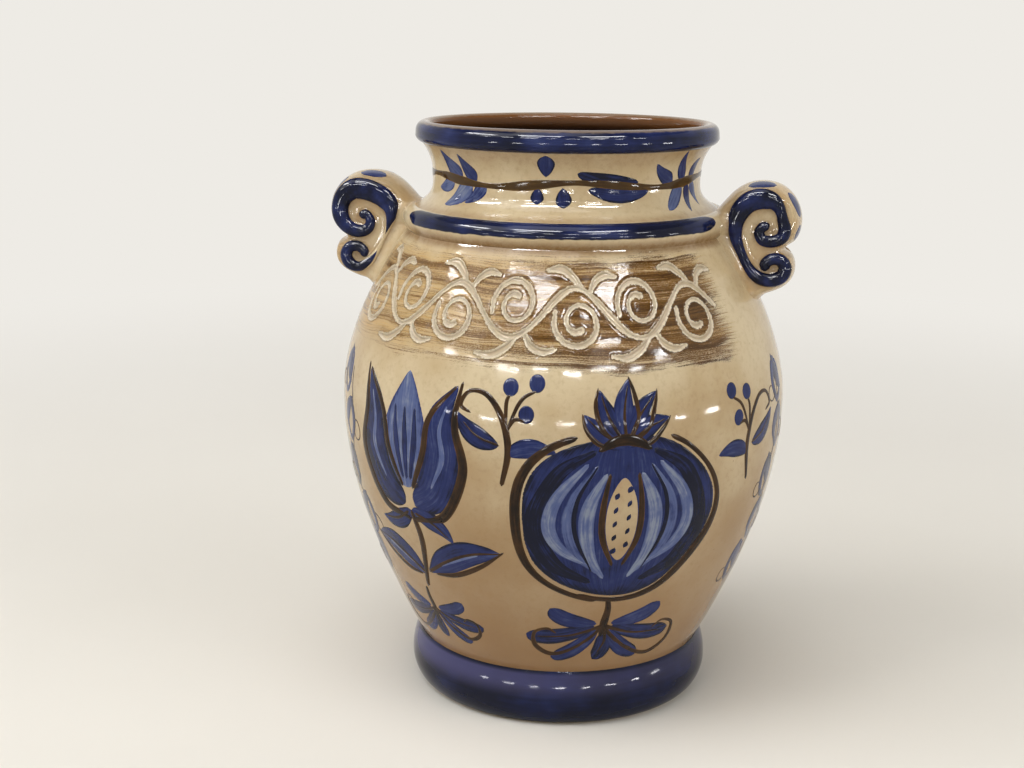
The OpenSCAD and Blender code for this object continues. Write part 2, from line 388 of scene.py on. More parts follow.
def foot_glaze():
    """Cobalt on the foot: mauve on its shoulder, where it runs thin, with more of that mauve at the left as painted
    light, and darker towards the bottom, which is pooled glaze together with painted shade.
    """
    shade = Shade("cobalt_foot_glaze")
    _, angle, z, _ = shade.place()
    colour = cobalt_coat(shade, 0.7)
    thin = shade.math("MULTIPLY", shade.ease(z, FOOT_EDGE_Z + 1.0, FOOT_H - 5.0), shade.ease(z, FOOT_H - 0.3, FOOT_H - 2.5))
    # Painted light: the thin mauve is stronger at the left, where the light falls.
    painted_light_from_left = shade.math("SUBTRACT", 0.5, shade.math("MULTIPLY", shade.math("SINE", angle), 0.3))
    colour = shade.mix(shade.math("MULTIPLY", thin, painted_light_from_left), colour, COBALT_MAUVE)
    # Painted shade together with pooled glaze: darker towards the bottom of the foot.
    colour = shade.mix(shade.ease(z, FOOT_EDGE_Z + 5.0, 2.0, 0.0, 0.8), colour, COBALT_DARK)
    bare = shade.ease(z, 1.1, 0.5)
    shade.set(Base_Color=shade.mix(bare, colour, BARE_CLAY))
    glaze_skin(shade, 0.06, sheen=COBALT_SHEEN)
    return shade.material


def liner_glaze():
    """Dark brown glaze of the inside, redder and paler near the mouth."""
    shade = Shade("liner_brown")
    vector, _, z, _ = shade.place()
    run = shade.math("ADD", z, shade.math("MULTIPLY", shade.noise(vector, 0.06), 14.0))
    colour = shade.mix(shade.ease(run, POT_H - 22.0, POT_H + 4.0), LINER_DARK, LINER_RED)
    colour = shade.mix(shade.ease(shade.noise(vector, 0.4), 0.5, 0.75, 0.0, 0.35), colour, LINER_RED)
    shade.set(Base_Color=colour)
    glaze_skin(shade, 0.1, pit=0.06, sheen=COBALT_SHEEN)
    return shade.material


def rim_glaze():
    """Cobalt outside, brown liner inside, and between them the lip where both thin over the clay."""
    shade = Shade("rim_two_glazes")
    vector, _, z, radius = shade.place()
    wobble = shade.math("MULTIPLY", shade.noise(vector, 0.09), 1.2)
    liner = shade.mix(shade.ease(z, POT_H - 9.0, POT_H - 1.0), LINER_DARK, LINER_RED)
    edge = shade.math("ADD", radius, wobble)
    colour = shade.mix(shade.ease(edge, MOUTH_R + 1.6, MOUTH_R + 2.6), liner, TAN)
    colour = shade.mix(shade.ease(edge, RIM_R - 4.4, RIM_R - 3.2), colour, COBALT_THIN)
    colour = shade.mix(shade.ease(edge, RIM_R - 3.2, RIM_R - 2.0), colour, cobalt_coat(shade))
    broken = shade.math("ADD", z, shade.math("MULTIPLY", shade.noise(vector, 0.3), 0.8))
    colour = shade.mix(shade.ease(broken, POT_H - 1.1, POT_H - 0.2, 0.0, 0.75), colour, RIM_BREAK)
    under = shade.ease(z, RIM_Z + 2.6, RIM_Z + 0.4, 0.0, 0.7)
    shade.set(Base_Color=shade.mix(under, colour, COBALT_DARK))
    glaze_skin(shade, 0.06, sheen=COBALT_SHEEN)
    return shade.material


BEAD_BLUE = ((-60.6, 71.4), (108.0, 252.0))   # stretches of the bead painted blue, in degrees from the front


def bead_glaze():
    """Cream bead with a cobalt stripe on its upper part, which thins to a rounded end short of the lugs."""
    shade = Shade("bead_two_glazes")
    vector, angle, z, radius = shade.place()
    wobble = shade.noise(vector, 0.12, 2.0)
    degrees = shade.math("MULTIPLY", angle, 180 / math.pi)
    turned_on = shade.math("ADD", degrees, shade.math("MULTIPLY", shade.math("LESS_THAN", degrees, -90.0), 360.0))
    inward = -99.0
    for start, end in BEAD_BLUE:
        near = shade.math("MINIMUM", shade.math("SUBTRACT", turned_on, start), shade.math("SUBTRACT", end, turned_on))
        inward = shade.math("MAXIMUM", inward, near)
    full = shade.math("POWER", shade.ease(inward, 0.0, 7.0), 0.5)
    low = shade.math("SUBTRACT", 253.6, shade.math("MULTIPLY", full, 3.9))
    edge_z = shade.math("ADD", z, shade.math("MULTIPLY", shade.math("SUBTRACT", wobble, 0.5), 1.8))
    band = shade.ease(shade.math("SUBTRACT", edge_z, low), 0.0, 0.5)
    inner = shade.math("SUBTRACT", NECK_BASE_R + 4.6, shade.math("MULTIPLY", full, 3.4))
    top = shade.ease(shade.math("SUBTRACT", shade.math("ADD", radius, wobble), inner), 0.0, 0.6)
    pool = shade.math("MULTIPLY", shade.ease(shade.math("SUBTRACT", edge_z, low), 1.8, 0.4), full)
    cobalt = shade.mix(shade.math("MULTIPLY", pool, 0.6), cobalt_coat(shade), COBALT_DARK)
    share = shade.math("MULTIPLY", shade.math("MULTIPLY", band, top), shade.ease(inward, 0.0, 0.4))
    # Painted shade together with pooled glaze: the cream of the bead darkens towards its underside.
    corner = shade.ease(z, SHOULDER_Z + 5.2, SHOULDER_Z + 0.8, 0.0, 0.9)
    shade.set(Base_Color=shade.mix(share, stoneware(shade, corner), cobalt))
    glaze_skin(shade, 0.06, sheen=shade.mixed(share, SHEEN, COBALT_SHEEN))
    return shade.material


PANEL_FROM, PANEL_TO = -74.0, 57.0     # ends of the dry-brushed band, in degrees from the front
PANEL_LOW, PANEL_HIGH = 193.0, 240.0   # its heights


def belly_glaze():
    """Stoneware with a band of brown slip, dry-brushed in long streaks, and the pale clay of the carved lines."""
    shade = Shade("belly_glaze")
    vector, angle, z, _ = shade.place()
    # Painted shade together with pooled glaze: the belly darkens just under the bead.
    ground = stoneware(shade, shade.ease(z, SHOULDER_Z - 4.5, SHOULDER_Z - 0.8, 0.0, 0.8))
    degrees = shade.math("MULTIPLY", angle, 180 / math.pi)
    drift = shade.math("MULTIPLY", shade.noise(vector, 0.015, 2.0), 9.0)
    level = shade.math("ADD", z, drift)
    streak_at = shade.vector(shade.math("MULTIPLY", angle, 1.7), level, 0.0)
    bristle = shade.noise(streak_at, 1.5, 6.0, 0.85)
    swath = shade.noise(streak_at, 0.3, 2.0, 0.5)
    hair = shade.noise(streak_at, 2.6, 4.0, 0.8)
    grain = shade.noise(vector, 2.6, 3.0, 0.7)
    reach = shade.math("MULTIPLY", shade.math("SUBTRACT", bristle, 0.5), 44.0)
    right = shade.ease(shade.math("ADD", degrees, reach), PANEL_TO + 1.2, PANEL_TO - 1.2)
    left = shade.ease(shade.math("ADD", degrees, reach), PANEL_FROM - 2.0, PANEL_FROM + 2.0)
    patch = shade.noise(shade.vector(shade.math("MULTIPLY", angle, 3.0), 0.0, 0.0), 1.2)
    uneven = shade.math("MULTIPLY", shade.math("SUBTRACT", patch, 0.5), 12.0)
    low = shade.ease(shade.math("ADD", z, uneven), PANEL_LOW - 1.0, PANEL_LOW + 11.0)
    high = shade.ease(shade.math("ADD", z, uneven), PANEL_HIGH + 4.0, PANEL_HIGH - 5.0)
    ends = shade.math("MULTIPLY", left, right)
    cover = shade.math("MULTIPLY", low, high)
    loaded = shade.ease(degrees, -50.0, 50.0, 0.008, 0.115)
    tone = shade.math("ADD", shade.math("MULTIPLY", bristle, 0.64), shade.math("MULTIPLY", swath, 0.36))
    tone = shade.math("ADD", tone, shade.math("MULTIPLY", shade.math("SUBTRACT", grain, 0.5), 0.42))
    tone = shade.math("ADD", tone, loaded)
    fringe = shade.math("MULTIPLY", shade.ease(shade.math("ADD", z, uneven), PANEL_LOW - 2.0, PANEL_LOW + 2.0), high)
    streaked = shade.math("MAXIMUM", cover, shade.math("MULTIPLY", fringe, 0.72))
    threshold = shade.math("SUBTRACT", 0.65, shade.math("MULTIPLY", streaked, 0.13))
    lines = shade.ease(shade.math("SUBTRACT", tone, threshold), -0.01, 0.02)
    some = shade.ease(streaked, 0.0, 0.05)
    slip = shade.mix(shade.ease(tone, 0.55, 0.67), SLIP_BROWN, SLIP_DARK)
    thin = shade.math("MULTIPLY", shade.ease(hair, 0.42, 0.6, 0.3, 1.0), shade.ease(grain, 0.3, 0.7, 0.7, 1.0))
    veil = shade.math("MULTIPLY", shade.math("MULTIPLY", cover, ends), thin)
    wash = shade.mix(veil, ground, SLIP_WASH)
    colour = shade.mix(shade.math("MULTIPLY", lines, shade.math("MULTIPLY", ends, some)), wash, slip)
    depth = shade.attribute("carved")
    torn = shade.noise(vector, 0.9, 3.0, 0.75)
    rough_edge = shade.math("ADD", depth, shade.math("MULTIPLY", shade.math("SUBTRACT", torn, 0.5), 2.4))
    pale = shade.mix(shade.ease(shade.noise(vector, 0.5), 0.45, 0.8, 0.0, 0.7), CARVED_PALE, CREAM_LIGHT)
    pale = shade.mix(shade.ease(depth, 0.12, 0.6, 0.0, 0.85), pale, CARVED_DEEP)
    # Painted shadow together with piled-up slip: a brown line just outside the carved lines.
    piled_slip_and_shadow = shade.math("MULTIPLY", shade.ease(rough_edge, -1.5, -0.9), shade.ease(grain, 0.4, 0.62, 0.0, 0.5))
    colour = shade.mix(shade.math("MULTIPLY", piled_slip_and_shadow, ends), colour, SLIP_BROWN)
    colour = shade.mix(shade.ease(rough_edge, -0.75, -0.4), colour, pale)
    shade.set(Base_Color=colour)
    groove = shade.ease(depth, -0.35, 0.8)
    burr = shade.math("MULTIPLY", shade.ease(rough_edge, -1.3, -0.5), shade.ease(rough_edge, 0.4, -0.2))
    relief = shade.bump(shade.math("SUBTRACT", burr, shade.math("MULTIPLY", groove, 0.6)), 0.6)
    slip_relief = shade.bump(shade.math("MULTIPLY", lines, shade.math("MULTIPLY", ends, some)), 0.05, 1.0, relief)
    slip_sheen = shade.mixed(shade.math("MULTIPLY", cover, ends), SHEEN, 0.26)
    glaze_skin(shade, 0.07, relief=slip_relief, sheen=slip_sheen)
    return shade.material


def brush_paint(name, dark, middle, thin, thinness, at_edge=-0.26):
    """Colour laid on with a soft brush, in streaks along the stroke; at_edge below 0 darkens the stroke's edge."""
    shade = Shade(name)
    uv = shade.nodes.new("ShaderNodeUVMap")
    uv.uv_map = "brush"
    split = shade.nodes.new("ShaderNodeSeparateXYZ")
    shade.put(split.inputs[0], uv.outputs[0])
    along = shade.math("MULTIPLY", split.outputs[0], 6.0)
    across = shade.math("MULTIPLY", split.outputs[1], 100.0)
    load = shade.attribute("load")
    edge = shade.attribute("edge")
    spot = shade.vector(along, across, shade.math("MULTIPLY", load, 3.0))
    streak = shade.noise(spot, 0.85, 4.0, 0.65)
    cloud = shade.noise(shade.place()[0], 0.1, 3.0, 0.6)
    tone = shade.math("ADD", shade.math("MULTIPLY", streak, 0.8), shade.math("MULTIPLY", cloud, 0.6))
    tone = shade.math("ADD", tone, shade.math("MULTIPLY", load, -0.5))
    tone = shade.math("ADD", tone, shade.ease(edge, 0.6, 0.97, 0.0, at_edge))
    colour = shade.mix(shade.ease(tone, 0.2, 0.5), dark, middle)
    colour = shade.mix(shade.math("MULTIPLY", shade.ease(tone, 0.5, 0.82), thinness), colour, thin)
    shade.set(Base_Color=colour)
    glaze_skin(shade, 0.07, sheen=COBALT_SHEEN)
    return shade.material


# Brushwork: thin closed pads of slip on the surface that carries them

PROUD = 0.10     # height of the slip, in millimetres
SUNK = 0.45      # how far a pad reaches into the clay
BRISTLE_STEP = 1.3
ACROSS = (-1.0, -0.93, -0.7, -0.35, 0.0, 0.35, 0.7, 0.93, 1.0)


class Brush:
    """Collects strokes of one colour into one piece."""

    def __init__(self, surface):
        self.surface = surface
        self.vertices, self.faces, self.uvs, self.edges, self.loads = [], [], [], [], []
        self.count = 0

    def lay(self, anchor, places, height):
        """Points in the stroke's own plane (right and up, in millimetres) put on the surface at the anchor."""
        angle0, z0 = math.radians(anchor[0]), anchor[1]
        z = z0 + places[..., 1]
        base = self.surface(np.zeros_like(z), z, 0.0)
        radius = np.hypot(base[..., 0], base[..., 1])
        return self.surface(angle0 + places[..., 0] / radius, z, height)

    def add(self, points, faces, uvs, edges, load):
        first = self.count
        self.vertices.append(points.reshape(-1, 3))
        self.faces += [[first + i for i in face] for face in faces]
        self.uvs.append(uvs.reshape(-1, 2))
        self.edges.append(edges.reshape(-1))
        self.loads.append(np.full(edges.size, load))
        self.count += len(self.vertices[-1])

    def stroke(self, anchor, path, load=0.5, taper=(1.0, 1.0), layer=0):
        """One pull of the brush. path holds (right, up, half width); taper says how round each end is."""
        line = through(path, BRISTLE_STEP)
        centre, half = line[:, :2], np.maximum(line[:, 2], 0.12)
        ahead = np.gradient(centre, axis=0)
        ahead /= np.maximum(np.linalg.norm(ahead, axis=1, keepdims=True), 1e-6)
        aside = np.stack([-ahead[:, 1], ahead[:, 0]], -1)
        run = np.concatenate([[0], np.cumsum(np.linalg.norm(np.diff(centre, axis=0), axis=1))])
        for distance, roundness in ((run, taper[0]), (run[-1] - run, taper[1])):
            near = np.clip(distance / np.maximum(half * roundness, 0.3), 0, 1)
            half = half * np.maximum(np.sqrt(1 - (1 - near) ** 2), 0.12)
        across = np.array(ACROSS)
        places = centre[:, None, :] + aside[:, None, :] * half[:, None, None] * across[None, :, None]
        crown = PROUD * (1 + 0.5 * layer) * np.sqrt(np.maximum(1 - across ** 2, 0)) - 0.02
        top = self.lay(anchor, places, np.broadcast_to(crown, places.shape[:2]))
        under = self.lay(anchor, places[:, [-1, 0]], -SUNK)
        points = np.concatenate([top, under], 1)
        rings, sides = points.shape[:2]
        faces = [[i * sides + j, i * sides + (j + 1) % sides, (i + 1) * sides + (j + 1) % sides, (i + 1) * sides + j]
                 for i in range(rings - 1) for j in range(sides)]
        faces.append(list(range(sides - 1, -1, -1)))
        faces.append([(rings - 1) * sides + j for j in range(sides)])
        uvs = np.zeros(points.shape[:2] + (2,))
        uvs[..., 0] = run[:, None] / 100
        uvs[..., 1] = (half[:, None] * np.append(across, [1.0, -1.0])[None, :]) / 100 + self.count * 0.0137 % 1
        edges = np.broadcast_to(np.abs(np.append(across, [1.0, -1.0])), points.shape[:2]).copy()
        self.add(points, faces, uvs, edges, load)

    def patch(self, anchor, outline, load=0.5, layer=0, rings=14, slant=0.0):
        """A filled shape. outline(turn) gives (right, up) at angles turn round its middle."""
        turn = np.linspace(0, 2 * np.pi, 240, endpoint=False)
        rim = outline(turn)
        share = np.linspace(1, 0, rings + 1)[:-1] ** 0.8
        places = rim[None, :, :] * share[:, None, None]
        height = PROUD * (1 + 0.5 * layer) * np.sqrt(np.maximum(1 - share ** 6, 0)) - 0.02
        top = self.lay(anchor, places, np.broadcast_to(height[:, None], places.shape[:2]))
        under = self.lay(anchor, rim, -SUNK)
        middle = self.lay(anchor, np.zeros((1, 2)), np.array([height[-1]]))
        middle_under = self.lay(anchor, np.zeros((1, 2)), np.array([-SUNK]))
        columns = len(turn)
        points = np.concatenate([under, top.reshape(-1, 3), middle, middle_under])
        faces = [[i * columns + j, i * columns + (j + 1) % columns, (i + 1) * columns + (j + 1) % columns,
                  (i + 1) * columns + j] for i in range(rings) for j in range(columns)]
        top_middle = (rings + 1) * columns
        faces += [[rings * columns + j, rings * columns + (j + 1) % columns, top_middle] for j in range(columns)]
        faces += [[(j + 1) % columns, j, top_middle + 1] for j in range(columns)]
        flat = np.concatenate([rim, places.reshape(-1, 2), np.zeros((2, 2))])
        high = np.abs(rim[:, 1]).max() * 1.04
        wide = np.sqrt(np.maximum(1 - (flat[:, 1] / high) ** 2, 0.04))
        uvs = np.stack([(flat[:, 1] + slant * flat[:, 0]) / 100, flat[:, 0] / wide / 100], -1)
        edges = np.concatenate([np.ones(columns), np.repeat(share ** 3, columns), [0, 0]])
        self.add(points, faces, uvs, edges, load)

    def piece(self, name, material, slot):
        made = new_object(name, np.concatenate(self.vertices), self.faces)
        mesh = made.data
        corner = np.zeros(len(mesh.loops), np.int32)
        mesh.loops.foreach_get("vertex_index", corner)
        layer = mesh.uv_layers.new(name="brush")
        layer.data.foreach_set("uv", np.concatenate(self.uvs)[corner].astype(np.float32).ravel())
        for label, values in (("edge", self.edges), ("load", self.loads)):
            attribute = mesh.attributes.new(label, "FLOAT", "POINT")
            attribute.data.foreach_set("value", np.concatenate(values).astype(np.float32))
        return finish_piece(made, material, slot)


# Painted motifs. Each anchor is (degrees from the front, height), and each path runs from it in millimetres.

def turned(path, degrees, scale=1.0, flip=1):
    """A path turned anticlockwise, sized, and mirrored left to right where flip is -1."""
    turn = math.radians(degrees)
    out = []
    for a, b, half in path:
        a, b = a * scale, b * scale
        out.append((flip * (a * math.cos(turn) - b * math.sin(turn)),
                    a * math.sin(turn) + b * math.cos(turn), half * scale))
    return out


def moved(path, right, up):
    return [(a + right, b + up, half) for a, b, half in path]


LEAF = [(0, 0, 0.8), (3, 1.2, 3.0), (8, 2.3, 4.7), (13.5, 2.3, 4.7), (19, 1.0, 3.0), (24, -1.2, 0.6)]
LONG_LEAF = [(0, 0, 0.8), (5, 0.6, 2.6), (12, 0.8, 3.7), (19, 0.2, 3.4), (25, -1.2, 2.0), (28, -2, 0.8)]
PETAL = [(0, 0, 0.8), (2.5, 0.6, 3.2), (6.5, 1.2, 4.6), (11, 1.0, 4.4), (14.5, 0.2, 3.0), (17, -0.8, 1.0)]
COMMA = [(0, 0, 3.0), (4, 1.3, 3.1), (9, 1.2, 2.1), (14, -0.4, 1.0), (18, -2.8, 0.35)]
DROP = [(0, 0, 0.7), (3, 0, 3.0), (6.5, 0, 4.2), (9.5, 0, 3.2)]
WEDGE = [(0, 0, 3.3), (3.5, 0.5, 4.3), (8, 0.9, 4.1), (13, 0.4, 2.6), (18, -1.0, 0.5)]


def curl(radius, turns, half=0.55, grow=0.82):
    """A tendril that winds inward from (0, 0)."""
    path, steps = [], int(turns * 10)
    for i in range(steps + 1):
        turn = 2 * math.pi * i / 10
        r = radius * grow ** (i / 2.5)
        path.append((radius - r * math.cos(turn), r * math.sin(turn), half * (1 - 0.35 * i / steps)))
    return path


def spray(blue, brown, anchor, size=1.0, flip=1):
    """A sprig that spreads like a fan: leaves to both sides, brown veins and two open loops."""
    def sized(path):
        return [(flip * a * size, b * size, half * size) for a, b, half in path]

    leaves = [(160, 30, 4.0, 1, 0.35), (190, 38, 4.5, 1, 0.6), (222, 31, 4.2, 1, 0.3), (-94, 22, 4.2, 1, 0.65),
              (-46, 30, 4.3, -1, 0.4), (-12, 38, 4.6, -1, 0.6), (19, 31, 4.0, -1, 0.25)]
    for angle, length, half, bend, load in leaves:
        path = [(4, 0, half * 0.35), (length * 0.35, bend * 1.6, half * 0.9), (length * 0.65, bend * 2.2, half * 1.14),
                (length * 0.88, bend * 0.8, half * 0.98), (length, -bend * 1.0, half * 0.5)]
        blue.stroke(anchor, sized(turned(path, angle)), load)
    for angle, length, bend in ((192, 33, 1), (-14, 33, -1), (-44, 25, -1), (222, 25, 1), (-92, 18, 1)):
        vein = [(0, 0, 1.3), (length * 0.5, bend * 2.2, 0.8), (length, 0, 0.35)]
        brown.stroke(anchor, sized(turned(vein, angle)), 0.6, layer=2)
    brown.stroke(anchor, sized([(0, 17, 1.2), (0.8, 10, 1.7), (0, 1, 2.1), (-0.5, -7, 1.0)]), 0.75, layer=2)
    for side, reach, drop in ((1, 1.0, -22), (-1, 0.84, -18)):
        loop = [(side * 2, -3, 0.8), (side * 14 * reach, drop * 0.72, 1.15), (side * 27 * reach, drop, 1.35),
                (side * 38 * reach, drop * 0.72, 1.3), (side * 40 * reach, drop * 0.25, 1.05),
                (side * 33 * reach, drop * 0.08, 0.8), (side * 27 * reach, drop * 0.26, 0.45)]
        brown.stroke(anchor, sized(loop), 0.5, layer=2)


def pomegranate(cobalt, pale, brown, ground, anchor):
    """A large round fruit: full body, crescents along its ribs, an open window with seeds, crown and outline."""
    wide, high = 50.0, 43.0

    def body(turn, grow=0.0):
        swell = 1 + 0.03 * np.sin(3 * turn + 0.4) + 0.02 * np.cos(5 * turn)
        return np.stack([(wide * swell + grow) * np.cos(turn), (high * swell + grow) * np.sin(turn)], -1)

    cobalt.patch(anchor, body, 0.42, rings=22)
    for side in (-1, 1):
        shadow = [(side * 14, high - 9, 1.5), (side * 32, 22, 4.6), (side * 41, -3, 6.0), (side * 31, -24, 4.6),
                  (side * 12, -high + 8, 1.5)]
        cobalt.stroke(anchor, shadow, 0.95, layer=1)
        for reach, top, bottom, half, load in ((35, 25, -26, 3.6, 0.2), (26, 24, -30, 3.0, 0.5), (17, 20, -33, 3.8, 0.1)):
            rib = [(side * reach * 0.5, top + 3, half * 0.3), (side * reach * 0.9, top * 0.45, half),
                   (side * reach, -4, half * 1.15), (side * reach * 0.8, bottom * 0.62, half * 0.85),
                   (side * reach * 0.35, bottom, half * 0.25)]
            pale.stroke(anchor, rib, load, layer=2)
        groove = [(side * 13, 27, 0.6), (side * 22, 10, 1.3), (side * 22, -8, 1.3), (side * 12, -29, 0.5)]
        cobalt.stroke(anchor, groove, 1.1, layer=3)

    def window(turn):
        pinch = 1 - 0.35 * np.maximum(np.sin(turn), 0) ** 3 - 0.25 * np.maximum(-np.sin(turn), 0) ** 3
        return np.stack([8.2 * pinch * np.cos(turn), 23 * np.sin(turn)], -1)

    ground.patch((anchor[0], anchor[1] - 1), window, 0.5, layer=3, rings=8)
    for k in range(5):
        for side in (-1, 1):
            up = 13 - 7.2 * k + 1.6 * side
            reach = 3.3 * math.cos(up / 30)
            seed = [(side * reach - 0.8, up - 1.7, 1.2), (side * reach, up, 2.0), (side * reach + 0.6, up + 1.8, 1.1)]
            cobalt.stroke(anchor, seed, 0.8, layer=4)
    for first, last, grow, half in ((116, 262, 2.6, 2.0), (250, 424, 1.6, 1.8)):
        turn = np.radians(np.linspace(first, last, 16))
        pulled = [(a, b, half + 0.6 * math.sin(t * 2.3 + 1)) for (a, b), t in zip(body(turn, grow), turn)]
        brown.stroke(anchor, pulled, 0.7, layer=5, taper=(3.0, 3.0))
    for side in (-1, 1):
        edge = [(side * 7.0, 23, 0.8), (side * 9.4, 6, 1.6), (side * 8.8, -10, 1.6), (side * 2.4, -26, 0.8)]
        brown.stroke(anchor, edge, 0.6, layer=5)
    for angle, length, load in ((146, 25, 0.35), (118, 29, 0.6), (90, 31, 0.3), (62, 29, 0.6), (34, 25, 0.4)):
        sepal = [(0, 0, 2.6), (length * 0.35, 1.2, 5.4), (length * 0.7, 0.8, 4.2), (length, -1.5, 0.5)]
        path = moved(turned(sepal, angle), 0, high - 7)
        cobalt.stroke(anchor, path, load, layer=2)
        vein = [(3, 0, 1.1), (length * 0.5, 0.9, 0.9), (length * 0.92, -1.0, 0.35)]
        brown.stroke(anchor, moved(turned(vein, angle), 0, high - 7), 0.6, layer=4)
        side = -1 if angle > 90 else 1
        edge = [(4, side * -3.2, 0.6), (length * 0.45, side * -6.0, 1.3), (length * 0.8, side * -4.0, 1.0),
                (length * 1.04, -1.5, 0.4)]
        brown.stroke(anchor, moved(turned(edge, angle), 0, high - 7), 0.55, layer=4)
    base = [(-13, high - 9, 1.0), (-5, high - 4.5, 3.0), (4, high - 4.2, 3.2), (13, high - 9, 1.0)]
    brown.stroke(anchor, base, 0.9, layer=6)


def broad_leaf(cobalt, pale, brown, anchor, right, up, angle, length, flip=1):
    """A long leaf in two pulls of the brush, with a brown midrib and a brown line along one side."""
    halves = [(cobalt, 2.6, 4.6, 0.5), (cobalt, -2.6, 4.2, 0.25)]
    for brush, off, half, load in halves:
        path = [(0, 0, 0.8), (length * 0.28, off * 1.0 + 3, half * 0.9), (length * 0.6, off + 4.5, half),
                (length * 0.85, off * 0.5 + 2.5, half * 0.62), (length, 0, 0.4)]
        brush.stroke(anchor, moved(turned(path, angle, 1.0, flip), right, up), load, layer=1)
    pulled = [(length * 0.2, 1.4, 0.4), (length * 0.5, 2.8, 1.5), (length * 0.75, 2.4, 0.4)]
    pale.stroke(anchor, moved(turned(pulled, angle, 1.0, flip), right, up), 0.2, layer=2)
    rib = [(0, 0, 1.2), (length * 0.35, 3.0, 1.1), (length * 0.7, 3.6, 0.9), (length * 1.02, 0, 0.4)]
    brown.stroke(anchor, moved(turned(rib, angle, 1.0, flip), right, up), 0.6, layer=3)
    edge = [(length * 0.08, -2.0, 0.6), (length * 0.35, -4.6, 1.4), (length * 0.7, -3.4, 1.2), (length * 1.04, 0.6, 0.4)]
    brown.stroke(anchor, moved(turned(edge, angle, 1.0, flip), right, up), 0.55, layer=3)


def tulip(cobalt, pale, brown, anchor, size=1.0):
    """A cup-shaped flower: two broad outer petals, a pale inner one, sepals and brown outlines."""
    def sized(path):
        return [(a * size, b * size, half * size) for a, b, half in path]

    inner = [(0, -16, 8), (-1, 0, 14.0), (0.5, 15, 12), (1, 27, 6.5), (0.6, 36, 0.8)]
    pale.stroke(anchor, sized(inner), 0.3)
    for side, load in ((-1, 0.6), (1, 0.35)):
        petal = [(side * 3, -24, 5.0), (side * 15, -15, 9.6), (side * 21, 2, 9.2), (side * 20, 18, 6.6),
                 (side * 27, 33, 0.8)]
        cobalt.stroke(anchor, sized(petal), load, layer=1)
        line = [(side * 1, -31, 1.4), (side * 19, -26, 2.2), (side * 31, -4, 2.3), (side * 27.5, 16, 1.8),
                (side * 29, 35, 0.6)]
        brown.stroke(anchor, sized(line), 0.7, layer=3)
        inside = [(side * 27, 33, 0.5), (side * 14.5, 18, 1.5), (side * 10.5, 1, 1.7), (side * 3, -16, 1.1)]
        brown.stroke(anchor, sized(inside), 0.6, layer=3)
        streak = [(side * 14, -14, 0.6), (side * 21, 0, 1.8), (side * 20, 13, 1.3), (side * 23, 24, 0.5)]
        pale.stroke(anchor, sized(streak), 0.3, layer=2)
    for right in (-5.0, 0.4, 5.8):
        cobalt.stroke(anchor, sized([(right * 0.4, -12, 0.9), (right, 5, 1.8), (right * 1.1, 21, 0.6)]), 0.5, layer=2)
    for angle, length in ((204, 24), (-24, 24)):
        sepal = [(0, 0, 2.0), (length * 0.4, 1.8, 4.8), (length * 0.75, 1.0, 3.4), (length, -2.2, 0.5)]
        cobalt.stroke(anchor, sized(moved(turned(sepal, angle), 0, -27)), 0.35, layer=2)
        vein = [(2, 0, 1.0), (length * 0.5, 1.2, 0.9), (length * 0.9, -1.2, 0.35)]
        brown.stroke(anchor, sized(moved(turned(vein, angle), 0, -27)), 0.6, layer=4)


def berry_branch(cobalt, brown, anchor, flip=1, size=1.0):
    """An arching brown twig with three berries and two leaves."""
    def sized(path):
        return [(flip * a * size, b * size, half * size) for a, b, half in path]

    twig = [(0, -26, 1.0), (3, -10, 1.6), (0, 4, 1.5), (-7, 13, 1.2), (-15, 14, 0.9), (-19, 8, 1.1), (-14, 5, 0.5)]
    brown.stroke(anchor, sized(twig), 0.55, layer=2)
    for right, up in ((10, 6), (3, 17), (14, 19)):
        here = (anchor[0] + flip * math.degrees(right * size / 110), anchor[1] + up * size)
        cobalt.patch(here, lambda turn: 3.5 * size * np.stack([np.cos(turn), 1.12 * np.sin(turn)], -1), 0.4, rings=6)
        brown.stroke(anchor, sized([(2, -2, 0.6), (right * 0.55, up * 0.6, 0.9), (right, up - 3, 0.6)]), 0.5, layer=1)
    cobalt.stroke(anchor, sized(moved(turned(LEAF, 150, 1.0), -1, -8)), 0.5, layer=1)
    cobalt.stroke(anchor, sized(moved(turned(LEAF, 8, 0.9), 2, -12)), 0.3, layer=1)
    brown.stroke(anchor, sized(moved(turned([(0, 0, 0.7), (10, 2.0, 0.6), (19, 0.5, 0.3)], 150), -1, -8)), 0.5, layer=3)


def loop_chain(cobalt, brown, angle, sway):
    """A hanging chain of open leaf loops with tendrils."""
    heights = [176, 152, 127, 103, 81]
    for k, z in enumerate(heights):
        side = 1 if k % 2 else -1
        ring = [(0, 10, 1.8), (side * 6.5, 6, 2.6), (side * 8.5, -3, 2.4), (side * 3, -11, 1.7), (-side * 2.5, -6, 1.9),
                (-side * 2.5, 4, 1.6), (0, 9, 1.2)]
        cobalt.stroke((angle + sway * k, z), ring, 0.25 + 0.15 * (k % 3))
        leaf = moved(turned(LEAF, 60 if side > 0 else 120, 0.85), -side * 5, -6)
        cobalt.stroke((angle + sway * k, z), leaf, 0.45)
        tendril = moved(turned(curl(6.5, 1.0), -60 if side > 0 else 240, 1.0), side * 9, 4)
        brown.stroke((angle + sway * k, z - 4), tendril, 0.45, layer=1)
    line = [(0, 100, 0.6), (4, 72, 0.9), (-3, 46, 0.9), (3, 22, 0.8), (0, 2, 0.4)]
    brown.stroke((angle + sway * 2, heights[-1] - 2), [(a + 1.5, b, half) for a, b, half in line], 0.5)


NECK_STEM_Z = 273.5   # middle height of the vine round the neck
VINE_WAVES = 5


